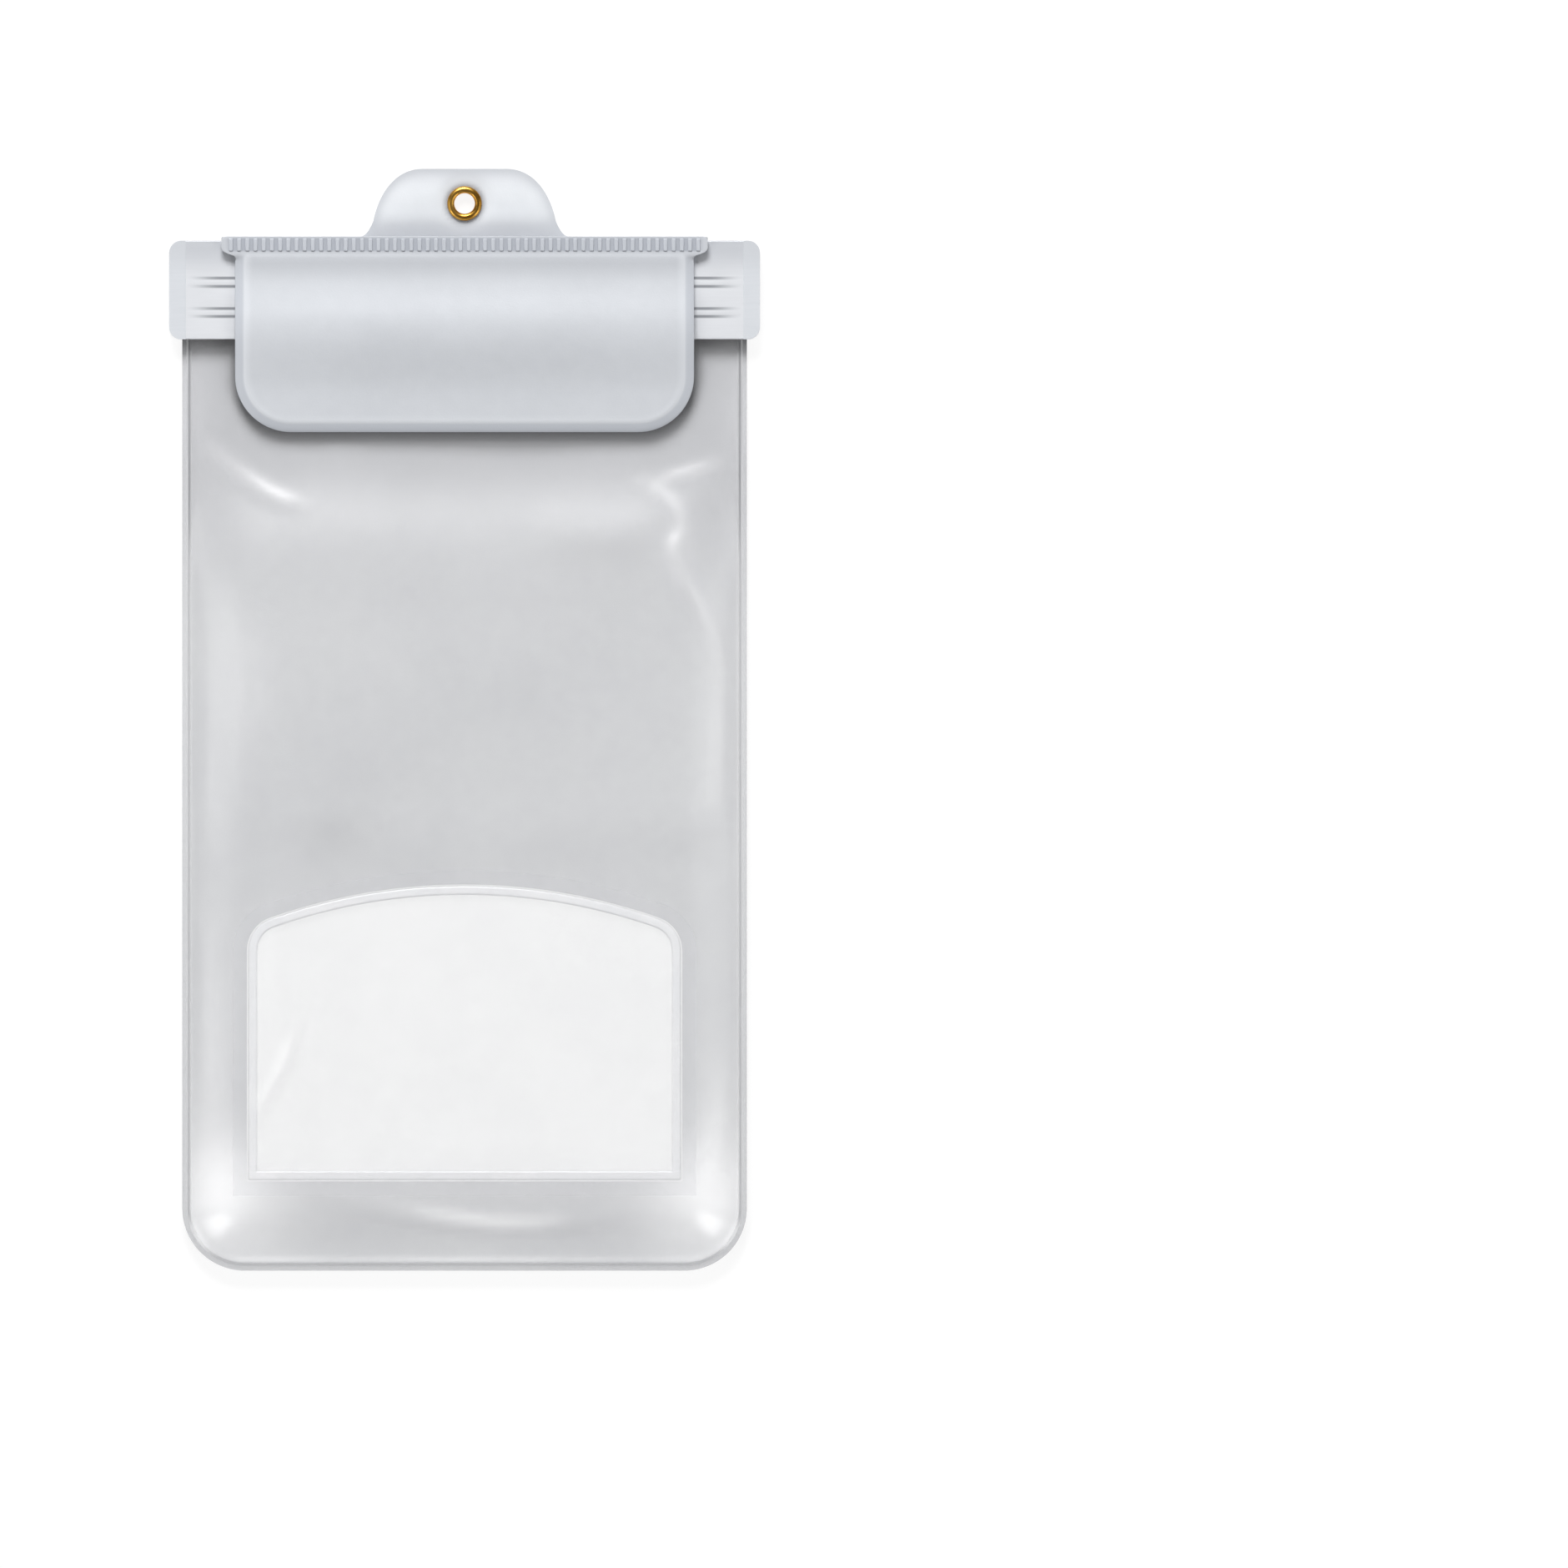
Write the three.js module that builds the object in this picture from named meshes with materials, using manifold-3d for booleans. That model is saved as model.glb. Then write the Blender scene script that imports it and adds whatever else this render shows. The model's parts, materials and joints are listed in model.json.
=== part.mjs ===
// A waterproof phone pouch, closed and lying on its back.
// A clear front film and an opaque back sheet are welded together along three edges. The mouth, along
// the fourth edge, is shut by two press-to-close tracks and covered by a flap held with hook-and-loop tape.
// Units are millimetres. +Z is up, +Y points to the hanging tab, and +X is to the right when the clear
// front is looked at from above. The origin lies on the supporting surface, under the middle of the outline.

import * as THREE from 'three';
import { mergeVertices } from 'three/addons/utils/BufferGeometryUtils.js';
import Module from 'manifold-3d';

const wasm = await Module();
wasm.setup();

// The welded body
const bodyWidth = 135.4;
const bodyLength = 247;
const bodyCornerRadius = 15;
const seamWidth = 1.7;
const seamLift = 2;
const seamLiftRun = 25;
const seamLiftDrop = 6;
const backThickness = 0.7;
const filmThickness = 0.5;
const weldGap = 0.3;
const hemLineDrops = [0.7, 10.2];
const hemLineWidth = 0.4;
const hemLineDepth = 0.25;

// How far the film stands off the back sheet, and where
const pillowHeight = 9.5;
const pillowRun = 26;
const shoulderRun = 40;
const shoulderSteps = 6;
const throatHeight = 1.3;
const throatDrop = 5;

// The closure: a back strip with two ribs, pressed into two channels of a wider front strip
const closureHeight = 23.7;
const closureOverhang = 3.15;
const closureCornerRadius = 3;
const backStripThickness = 0.8;
const frontStripThickness = 1.1;
const trackHeight = 2;
const upperTrackDrop = 9.9;
const trackPitch = 7.25;
const trackEndInset = 4.7;
const trackLineSpacing = 2;
const trackLineWidth = 0.5;
const trackLineDepth = 0.35;
const lipThickness = 0.6;
const lipHookHeight = 0.35;
const channelWidth = 1.5;
const channelHook = 0.25;
const ribHeadGap = 0.15;
const ribStemGap = 0.2;
const ribTipGap = 0.4;
const ribTipHeight = 0.6;
const filmMargin = 4.4;
const stripGap = 0.3;
const endBlockWidth = 2.45;

// The flap, with its ribbed spine
const flapSideInset = 12.55;
const flapReach = 45.5;
const flapCornerRadius = 13;
const flapThickness = 1.1;
const flapRimWidth = 2;
const flapPanelRise = 0.25;
const flapClearance = 0.3;
const flapSlopeRun = 9;
const flapEdgeChamfer = 0.5;
const spineOverhang = 3.15;
const spineHeight = 4.9;
const spineWall = 0.7;
const spineClearance = 0.3;
const spineCornerRadius = 1.6;
const spineRibPitch = 1.95;
const spineRibWidth = 1;
const spineRibLength = 3;
const spineRibHeight = 0.4;
const spineRibDrop = 0.6;

// Hook-and-loop tapes under the flap
const tapeEndInset = 16.15;
const tapeLowerInset = 2.2;
const tapeUpperInset = 2.6;
const tapeCornerRadius = 1.5;
const tapeToShoulder = 1.6;
const loopTapeThickness = 0.7;
const hookTapeThickness = 0.7;

// The camera window in the back sheet
const windowSideMargin = 15.8;
const windowHeight = 70.6;
const windowBottomMargin = 21.7;
const windowCornerRadius = 8;
const windowArchRadius = 140;
const windowFrameWidth = 2.2;
const windowFrameProud = 0.4;
const windowFilmOverlap = 3.7;
const windowFilmToCurl = 0.1;
const windowFitGap = 0.3;
const windowLiftMargin = 6;
const windowLiftRun = 20;

// The hanging tab and its brass eyelet
const tabReach = 17.2;
const tabFootWidth = 49.8;
const tabSideWidth = 43.8;
const tabTopWidth = 20;
const tabThickness = 1.2;
const tabPadRise = 0.7;
const tabPadInset = 1.3;
const tabShoulderRise = 3.6;
const tabCrownDrop = 6.1;
const tabCrownReach = 6.8;
const tabSideLean = 1.3;
const tabRootDepth = 7.4;
const tabRootInset = 9.4;
const eyeletDrop = 8.3;
const eyeletHoleRadius = 2.45;
const eyeletBarrelWall = 0.45;
const eyeletFlangeRadius = 4.15;
const eyeletFlangeHeight = 0.8;
const eyeletFlangeBevel = 0.45;
const eyeletMouthBevel = 0.25;
const eyeletFitGap = 0.3;
const washerThickness = 0.35;
const rolledLipThickness = 0.2;
const rolledLipReach = 0.8;

// A rib or a pad starts this far inside the sheet that it stands on, and a cut ends this far outside
const rootDepth = 0.2;
const cutBeyond = 1;

// Widths that follow from the body's
const bodyHalf = bodyWidth / 2;
const flapWidth = bodyWidth - 2 * flapSideInset;
const spineWidth = flapWidth + 2 * spineOverhang;
const windowWidth = bodyWidth - 2 * windowSideMargin;
const trackLength = bodyWidth - 2 * trackEndInset;
const tapeLength = flapWidth - 2 * tapeEndInset;
const curlRun = windowSideMargin - windowFilmOverlap - windowFilmToCurl - seamWidth;

// Levels along Y, worked out from the top edge of the body downwards
const yBottom = -(bodyLength + tabReach) / 2;
const yBodyTop = yBottom + bodyLength;
const yTabTop = yBodyTop + tabReach;
const yClosureBottom = yBodyTop - closureHeight;
const yFilmTop = yClosureBottom + filmMargin;
const yUpperTrack = yBodyTop - upperTrackDrop;
const yLowerTrack = yUpperTrack - trackPitch;
const ySpineTop = yBodyTop + spineClearance + spineWall;
const ySpineBottom = ySpineTop - spineHeight;
const yFlapBottom = yBodyTop - flapReach;
const yRootBottom = yBodyTop - tabRootDepth;
const yBottomArc = yBottom + bodyCornerRadius;
const yEyelet = yTabTop - eyeletDrop;
const yWindowBottom = yBottom + windowBottomMargin;
const yWindowTop = yWindowBottom + windowHeight;
const yLiftStart = yClosureBottom - seamLiftDrop;
const yThroatTop = yClosureBottom - throatDrop;
const yTapeLow = yFlapBottom + tapeLowerInset;
const yTapeHigh = yThroatTop - tapeUpperInset;
const yShoulderTop = yTapeLow - tapeToShoulder;
const yWindowLift = yWindowTop + windowLiftMargin;

// Levels along Z, worked out from the supporting surface upwards
const zBackTop = backThickness;
const zStripSeat = zBackTop + backStripThickness;
const zFrontStripLow = zStripSeat + trackHeight;
const zFrontStripTop = zFrontStripLow + frontStripThickness;
const zMarginFilm = zFrontStripLow - filmThickness;
const zThroatFilm = zBackTop + throatHeight;
const zPillowFilm = zBackTop + windowFrameProud + pillowHeight;
const zLoopTape = zThroatFilm + filmThickness;
const zHookTape = zLoopTape + loopTapeThickness;
const zFlapLow = zHookTape + hookTapeThickness;
const zFlapHigh = zFrontStripTop + flapClearance;
const zTab = zBackTop;
const zTabTop = zTab + tabThickness;
const zPadTop = zTabTop + tabPadRise;

// Materials

const greySheet = new THREE.MeshStandardMaterial({ color: 0xc9cdd3, roughness: 0.55, metalness: 0 });
const greyFlap = new THREE.MeshStandardMaterial({ color: 0xd6dade, roughness: 0.5, metalness: 0 });
const paleStrip = new THREE.MeshStandardMaterial({ color: 0xe2e5e9, roughness: 0.4, metalness: 0 });
const whiteTrim = new THREE.MeshStandardMaterial({ color: 0xeeeef1, roughness: 0.35, metalness: 0 });
const tapeGrey = new THREE.MeshStandardMaterial({ color: 0xb9bdc3, roughness: 0.95, metalness: 0 });
const brass = new THREE.MeshStandardMaterial({ color: 0xb5832c, roughness: 0.25, metalness: 1 });
const clearFilm = new THREE.MeshStandardMaterial({
  color: 0xe9ebee, roughness: 0.12, metalness: 0, transparent: true, opacity: 0.35,
});

// Joining and cutting closed solids

function toSolid(geometry) {
  const bare = geometry.clone();
  bare.deleteAttribute('normal');
  bare.deleteAttribute('uv');
  const merged = mergeVertices(bare, 1e-4);
  return new wasm.Manifold(new wasm.Mesh({
    numProp: 3,
    vertProperties: new Float32Array(merged.attributes.position.array),
    triVerts: new Uint32Array(merged.index.array),
  }));
}

function toGeometry(solid) {
  const mesh = solid.getMesh();
  const geometry = new THREE.BufferGeometry();
  geometry.setAttribute('position', new THREE.BufferAttribute(new Float32Array(mesh.vertProperties), 3));
  geometry.setIndex(new THREE.BufferAttribute(new Uint32Array(mesh.triVerts), 1));
  geometry.computeVertexNormals();
  return geometry;
}

const joined = (solids) => solids.reduce((whole, piece) => whole.add(piece));

// An outline in X and Y, made a plate between two heights
function plate(outline, zLow, zHigh, curveSegments = 8) {
  const geometry = new THREE.ExtrudeGeometry(outline, {
    depth: zHigh - zLow, bevelEnabled: false, curveSegments,
  });
  geometry.translate(0, 0, zLow);
  return geometry;
}

// A section in Y and Z, made a bar of a given length along X
function barAlongX(section, length, curveSegments = 6) {
  const geometry = new THREE.ExtrudeGeometry(section, { depth: length, bevelEnabled: false, curveSegments });
  const sectionAxes = new THREE.Matrix4().makeBasis(
    new THREE.Vector3(0, 1, 0), new THREE.Vector3(0, 0, 1), new THREE.Vector3(1, 0, 0),
  );
  geometry.applyMatrix4(sectionAxes);
  geometry.translate(-length / 2, 0, 0);
  return geometry;
}

function polygon(points) {
  return new THREE.Shape(points.map(([x, y]) => new THREE.Vector2(x, y)));
}

function block(xLow, xHigh, yLow, yHigh, zLow, zHigh) {
  const geometry = new THREE.BoxGeometry(xHigh - xLow, yHigh - yLow, zHigh - zLow);
  geometry.translate((xLow + xHigh) / 2, (yLow + yHigh) / 2, (zLow + zHigh) / 2);
  return geometry;
}

function roundedRectangle(xHalf, yLow, yHigh, radius) {
  const shape = new THREE.Shape();
  shape.absarc(xHalf - radius, yHigh - radius, radius, 0, Math.PI / 2);
  shape.absarc(-xHalf + radius, yHigh - radius, radius, Math.PI / 2, Math.PI);
  shape.absarc(-xHalf + radius, yLow + radius, radius, Math.PI, Math.PI * 1.5);
  shape.absarc(xHalf - radius, yLow + radius, radius, Math.PI * 1.5, Math.PI * 2);
  return shape;
}

// Heights of the two soft sheets

function smoothStep(from, to, value) {
  const t = Math.min(Math.max((value - from) / (to - from), 0), 1);
  return t * t * (3 - 2 * t);
}

// Distance in from the welded edge, which runs down both sides and round the bottom but not along the mouth
function edgeDistance(x, y) {
  const overX = Math.abs(x) - (bodyHalf - bodyCornerRadius);
  const overY = yBottomArc - y;
  const outside = Math.hypot(Math.max(overX, 0), Math.max(overY, 0));
  return bodyCornerRadius - outside - Math.min(Math.max(overX, overY), 0);
}

// The back sheet lies flat, curls up to its seam, and stands off the surface around the window's proud frame
function backUnderside(x, y) {
  const inFromSeam = Math.max(edgeDistance(x, y) - seamWidth, 0);
  const curl = (1 - Math.min(inFromSeam / curlRun, 1)) ** 2;
  const lift = seamLift * smoothStep(yLiftStart, yLiftStart - seamLiftRun, y);
  const windowLift = windowFrameProud * smoothStep(yWindowLift + windowLiftRun, yWindowLift, y);
  return lift * curl + windowLift;
}

// The film leaves the seam, swells to a pillow over the pocket, and dips under the flap
function filmUnderside(x, y) {
  const atSeam = backUnderside(bodyHalf, Math.max(y, yBottomArc)) + backThickness + weldGap;
  const rise = 1 - (1 - Math.min(Math.max(edgeDistance(x, y) - seamWidth, 0) / pillowRun, 1)) ** 3;
  const pillow = (zPillowFilm - zThroatFilm) * smoothStep(yShoulderTop, yShoulderTop - shoulderRun, y);
  const margin = (zMarginFilm - zThroatFilm) * smoothStep(yThroatTop, yClosureBottom, y);
  return atSeam + (zThroatFilm + pillow + margin - atSeam) * rise;
}

// Levels along Y where either sheet changes its slope, below the closure
function pocketStations() {
  const shoulder = Array.from(
    { length: shoulderSteps + 1 }, (_, step) => yShoulderTop - (shoulderRun * step) / shoulderSteps,
  );
  const pillowEnd = yBottom + seamWidth + pillowRun;
  return [
    yThroatTop, yLiftStart, ...shoulder, yWindowLift + windowLiftRun, yWindowLift + windowLiftRun / 2,
    yWindowLift, (yWindowLift + pillowEnd) / 2, pillowEnd, (pillowEnd + yBottomArc) / 2, yBottomArc,
  ];
}

// A flat net over the body's outline: strips that follow the welded edge, and a grid inside them
function bodyNet(stations) {
  const arcSteps = 6;
  const cornerX = bodyHalf - bodyCornerRadius;
  const pillowX = bodyHalf - seamWidth - pillowRun;
  const curlShares = [0, 0.22, 0.46, 0.73, 1];
  const insets = [0, ...curlShares.map((share) => seamWidth + share * curlRun), bodyCornerRadius];
  const rightColumns = [pillowX / 2, pillowX, (pillowX + cornerX) / 2, cornerX];
  const columns = [...rightColumns.map((x) => -x).reverse(), 0, ...rightColumns];
  const rows = [...stations, ...pocketStations()].sort((a, b) => b - a);
  const points = [];
  const known = new Map();
  const triangles = [];

  function pointAt(x, y) {
    const key = `${x.toFixed(4)},${y.toFixed(4)}`;
    if (!known.has(key)) {
      known.set(key, points.length);
      points.push([x, y]);
    }
    return known.get(key);
  }

  function triangle(a, b, c) {
    if (a !== b && b !== c && c !== a) triangles.push([a, b, c]);
  }

  function quad(a, b, c, d) {
    triangle(a, b, c);
    triangle(a, c, d);
  }

  function strip(inset) {
    const arc = (centreX, start) => Array.from({ length: arcSteps - 1 }, (_, step) => {
      const angle = start + ((step + 1) / arcSteps) * (Math.PI / 2);
      const radius = bodyCornerRadius - inset;
      return pointAt(centreX + radius * Math.cos(angle), yBottomArc + radius * Math.sin(angle));
    });
    return [
      ...rows.map((y) => pointAt(-bodyHalf + inset, y)),
      ...arc(-cornerX, Math.PI),
      ...columns.map((x) => pointAt(x, yBottom + inset)),
      ...arc(cornerX, Math.PI * 1.5),
      ...rows.slice().reverse().map((y) => pointAt(bodyHalf - inset, y)),
    ];
  }

  const strips = insets.map(strip);
  for (let s = 0; s + 1 < strips.length; s += 1) {
    const outer = strips[s];
    const inner = strips[s + 1];
    for (let k = 0; k + 1 < outer.length; k += 1) quad(outer[k], outer[k + 1], inner[k + 1], inner[k]);
  }
  for (let r = 0; r + 1 < rows.length; r += 1) {
    for (let c = 0; c + 1 < columns.length; c += 1) {
      quad(
        pointAt(columns[c], rows[r + 1]), pointAt(columns[c + 1], rows[r + 1]),
        pointAt(columns[c + 1], rows[r]), pointAt(columns[c], rows[r]),
      );
    }
  }
  return { points, triangles };
}

// A closed sheet of one thickness over a flat net, its underside at the height that a function gives
function sheet(net, undersideAt, thickness) {
  const { points, triangles } = net;
  const positions = [];
  for (const [x, y] of points) positions.push(x, y, undersideAt(x, y) + thickness);
  for (const [x, y] of points) positions.push(x, y, undersideAt(x, y));
  const under = points.length;
  const indices = [];
  const edges = new Set();
  for (const [a, b, c] of triangles) {
    indices.push(a, b, c, under + a, under + c, under + b);
    edges.add(`${a},${b}`).add(`${b},${c}`).add(`${c},${a}`);
  }
  for (const edge of edges) {
    const [a, b] = edge.split(',').map(Number);
    if (!edges.has(`${b},${a}`)) indices.push(under + a, under + b, b, under + a, b, a);
  }
  const geometry = new THREE.BufferGeometry();
  geometry.setAttribute('position', new THREE.Float32BufferAttribute(positions, 3));
  geometry.setIndex(indices);
  geometry.computeVertexNormals();
  return geometry;
}

// The window's outline, an arch over straight sides, grown outwards by a distance
function windowOutline(grow) {
  const half = windowWidth / 2;
  const cornerX = half - windowCornerRadius;
  const archCentreY = yWindowTop - windowArchRadius;
  const cornerY = archCentreY + Math.sqrt((windowArchRadius - windowCornerRadius) ** 2 - cornerX ** 2);
  const meet = Math.atan2(cornerY - archCentreY, cornerX);
  const outline = new THREE.Shape();
  outline.moveTo(-half - grow, yWindowBottom - grow);
  outline.lineTo(half + grow, yWindowBottom - grow);
  outline.absarc(cornerX, cornerY, windowCornerRadius + grow, 0, meet);
  outline.absarc(0, archCentreY, windowArchRadius + grow, meet, Math.PI - meet);
  outline.absarc(-cornerX, cornerY, windowCornerRadius + grow, Math.PI - meet, Math.PI);
  return outline;
}

function backPanel() {
  const panel = toSolid(sheet(bodyNet([yBodyTop, yClosureBottom]), backUnderside, backThickness));
  const cutTop = windowFrameProud + backThickness + cutBeyond;
  const cutOut = toSolid(plate(windowOutline(windowFitGap), -cutBeyond, cutTop));
  const hemHalf = bodyHalf - seamWidth;
  const hemLines = hemLineDrops.map((drop) => toSolid(block(
    -hemHalf, hemHalf, yBodyTop - drop - hemLineWidth, yBodyTop - drop, -cutBeyond, hemLineDepth,
  )));
  return toGeometry(hemLines.reduce((solid, line) => solid.subtract(line), panel.subtract(cutOut)));
}

function frontFilm() {
  const marginStations = [yFilmTop, yClosureBottom, (yClosureBottom + yThroatTop) / 2];
  return sheet(bodyNet(marginStations), filmUnderside, filmThickness);
}

function windowFrame() {
  const outline = windowOutline(0);
  outline.holes.push(windowOutline(-windowFrameWidth));
  return plate(outline, 0, windowFrameProud + backThickness);
}

function windowFilm() {
  const low = windowFrameProud + backThickness;
  return plate(windowOutline(windowFilmOverlap), low, low + filmThickness);
}

// The back strip: a flat base, and two ribs with arrow-shaped heads
function backClosureStrip() {
  const base = toSolid(block(
    -bodyHalf, bodyHalf, yFilmTop + stripGap, yRootBottom - stripGap, zBackTop, zStripSeat,
  ));
  const headHalf = channelWidth / 2 - ribHeadGap;
  const stemHalf = channelWidth / 2 - channelHook - ribStemGap;
  const tip = zFrontStripLow - ribTipGap;
  const neck = tip - ribTipHeight;
  const ribs = [yUpperTrack, yLowerTrack].map((y) => toSolid(barAlongX(polygon([
    [y - stemHalf, zStripSeat - rootDepth], [y + stemHalf, zStripSeat - rootDepth], [y + stemHalf, neck],
    [y + headHalf, neck], [y + stemHalf / 2, tip], [y - stemHalf / 2, tip],
    [y - headHalf, neck], [y - stemHalf, neck],
  ]), trackLength)));
  return toGeometry(joined([base, ...ribs]));
}

// One hooked lip of a channel, on the side that the sign gives
function channelLip(y, side) {
  const inner = y + side * channelWidth / 2;
  const outer = inner + side * lipThickness;
  const hook = inner - side * channelHook;
  const low = zStripSeat + stripGap;
  const section = [
    [outer, zFrontStripLow + rootDepth], [inner, zFrontStripLow + rootDepth],
    [inner, low + lipHookHeight + channelHook], [hook, low + lipHookHeight], [hook, low], [outer, low],
  ];
  return toSolid(barAlongX(polygon(section), trackLength));
}

// One of the two lines that show over each track
function trackLine(middle) {
  return toSolid(barAlongX(polygon([
    [middle - trackLineWidth / 2, zFrontStripTop], [middle, zFrontStripTop - trackLineDepth],
    [middle + trackLineWidth / 2, zFrontStripTop], [middle, zFrontStripTop + cutBeyond],
  ]), trackLength));
}

// The front strip: a wide plate with two hooked channels under it, and ends that wrap down past the
// sides of the body and stand on the back strip
function frontClosureStrip() {
  const half = bodyHalf + closureOverhang;
  const outline = roundedRectangle(half, yClosureBottom, yBodyTop, closureCornerRadius);
  const wrapInner = bodyHalf + stripGap;
  const wraps = toSolid(plate(outline, stripGap, zFrontStripLow + rootDepth)).subtract(toSolid(block(
    -wrapInner, wrapInner, yClosureBottom - cutBeyond, yBodyTop + cutBeyond, 0, zFrontStripTop,
  )));
  const pieces = [toSolid(plate(outline, zFrontStripLow, zFrontStripTop)), wraps];
  for (const side of [-1, 1]) {
    const ends = [side * (bodyHalf - endBlockWidth), side * (wrapInner + rootDepth)].sort((a, b) => a - b);
    pieces.push(toSolid(block(
      ...ends, yFilmTop + stripGap, yRootBottom - stripGap, zStripSeat, zFrontStripLow + rootDepth,
    )));
    pieces.push(channelLip(yUpperTrack, side), channelLip(yLowerTrack, side));
  }
  const lines = [yUpperTrack, yLowerTrack].flatMap((y) => [
    trackLine(y - trackLineSpacing / 2), trackLine(y + trackLineSpacing / 2),
  ]);
  return toGeometry(lines.reduce((solid, line) => solid.subtract(line), joined(pieces)));
}

// The flap's outline, with a wider spine along its top edge
function flapOutline() {
  const half = flapWidth / 2;
  const bottomX = half - flapCornerRadius;
  const bottomY = yFlapBottom + flapCornerRadius;
  const endX = half + spineOverhang - spineCornerRadius;
  const endTopY = ySpineTop - spineCornerRadius;
  const endLowY = ySpineBottom + spineCornerRadius;
  const cove = spineOverhang - spineCornerRadius;
  const coveY = ySpineBottom - cove;
  const outline = new THREE.Shape();
  outline.absarc(endX, endTopY, spineCornerRadius, 0, Math.PI / 2);
  outline.absarc(-endX, endTopY, spineCornerRadius, Math.PI / 2, Math.PI);
  outline.absarc(-endX, endLowY, spineCornerRadius, Math.PI, Math.PI * 1.5);
  outline.absarc(-endX, coveY, cove, Math.PI / 2, 0, true);
  outline.absarc(-bottomX, bottomY, flapCornerRadius, Math.PI, Math.PI * 1.5);
  outline.absarc(bottomX, bottomY, flapCornerRadius, Math.PI * 1.5, Math.PI * 2);
  outline.absarc(endX, coveY, cove, Math.PI, Math.PI / 2, true);
  outline.absarc(endX, endLowY, spineCornerRadius, Math.PI * 1.5, Math.PI * 2);
  return outline;
}

// The same outline without the spine, taken in by the rim's width
function flapPanelOutline() {
  const half = flapWidth / 2 - flapRimWidth;
  const radius = flapCornerRadius - flapRimWidth;
  const outline = new THREE.Shape();
  outline.moveTo(half, ySpineBottom - flapRimWidth / 2);
  outline.lineTo(-half, ySpineBottom - flapRimWidth / 2);
  outline.absarc(-half + radius, yFlapBottom + flapCornerRadius, radius, Math.PI, Math.PI * 1.5);
  outline.absarc(half - radius, yFlapBottom + flapCornerRadius, radius, Math.PI * 1.5, Math.PI * 2);
  return outline;
}

// The flap's section: up behind the closure's top edge, over its front, and down to the tapes
function flapSection(rise) {
  const top = flapThickness + rise;
  const slopeLow = yClosureBottom - flapSlopeRun;
  const innerWall = ySpineTop - spineWall;
  const section = new THREE.Shape();
  section.moveTo(ySpineTop, zTabTop);
  section.lineTo(ySpineTop, zFlapHigh + top - flapEdgeChamfer);
  section.lineTo(ySpineTop - flapEdgeChamfer, zFlapHigh + top);
  section.lineTo(yClosureBottom, zFlapHigh + top);
  section.bezierCurveTo(
    yClosureBottom - flapSlopeRun / 2, zFlapHigh + top, slopeLow + flapSlopeRun / 2, zFlapLow + top,
    slopeLow, zFlapLow + top,
  );
  section.lineTo(yFlapBottom - cutBeyond, zFlapLow + top);
  section.lineTo(yFlapBottom - cutBeyond, zFlapLow);
  section.lineTo(slopeLow, zFlapLow);
  section.bezierCurveTo(
    slopeLow + flapSlopeRun / 2, zFlapLow, yClosureBottom - flapSlopeRun / 2, zFlapHigh,
    yClosureBottom, zFlapHigh,
  );
  section.lineTo(innerWall, zFlapHigh);
  section.lineTo(innerWall, zTabTop);
  return section;
}

function flap() {
  const flapTop = zFlapHigh + flapThickness;
  const high = flapTop + flapPanelRise + cutBeyond;
  const sheetBody = toSolid(barAlongX(flapSection(0), spineWidth + 2 * cutBeyond))
    .intersect(toSolid(plate(flapOutline(), 0, high)));
  const panel = toSolid(barAlongX(flapSection(flapPanelRise), flapWidth))
    .intersect(toSolid(plate(flapPanelOutline(), 0, high)));
  const ribSpan = spineWidth - 2 * spineCornerRadius;
  const ribCount = Math.floor((ribSpan - spineRibWidth) / spineRibPitch) + 1;
  const firstRib = -((ribCount - 1) * spineRibPitch) / 2;
  const ribTop = ySpineTop - spineRibDrop;
  const ribs = Array.from({ length: ribCount }, (_, index) => {
    const x = firstRib + index * spineRibPitch;
    return toSolid(block(
      x - spineRibWidth / 2, x + spineRibWidth / 2, ribTop - spineRibLength, ribTop,
      flapTop - rootDepth, flapTop + spineRibHeight,
    ));
  });
  return toGeometry(joined([sheetBody, panel, ...ribs]));
}

function tape(zLow, zHigh) {
  return plate(roundedRectangle(tapeLength / 2, yTapeLow, yTapeHigh, tapeCornerRadius), zLow, zHigh, 3);
}

// The tab's outline above a given level, taken in by a distance
function tabCurve(outline, inset) {
  const side = tabSideWidth / 2 - inset;
  const top = tabTopWidth / 2;
  const sideY = ySpineTop + tabShoulderRise;
  const controlY = yTabTop - tabCrownDrop;
  outline.lineTo(side, sideY);
  outline.bezierCurveTo(
    side - tabSideLean, controlY, top + tabCrownReach, yTabTop - inset, top, yTabTop - inset,
  );
  outline.lineTo(-top, yTabTop - inset);
  outline.bezierCurveTo(
    -top - tabCrownReach, yTabTop - inset, tabSideLean - side, controlY, -side, sideY,
  );
}

function eyeletHolePath(radius) {
  const hole = new THREE.Path();
  hole.absarc(0, yEyelet, radius, 0, Math.PI * 2, true);
  return hole;
}

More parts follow.
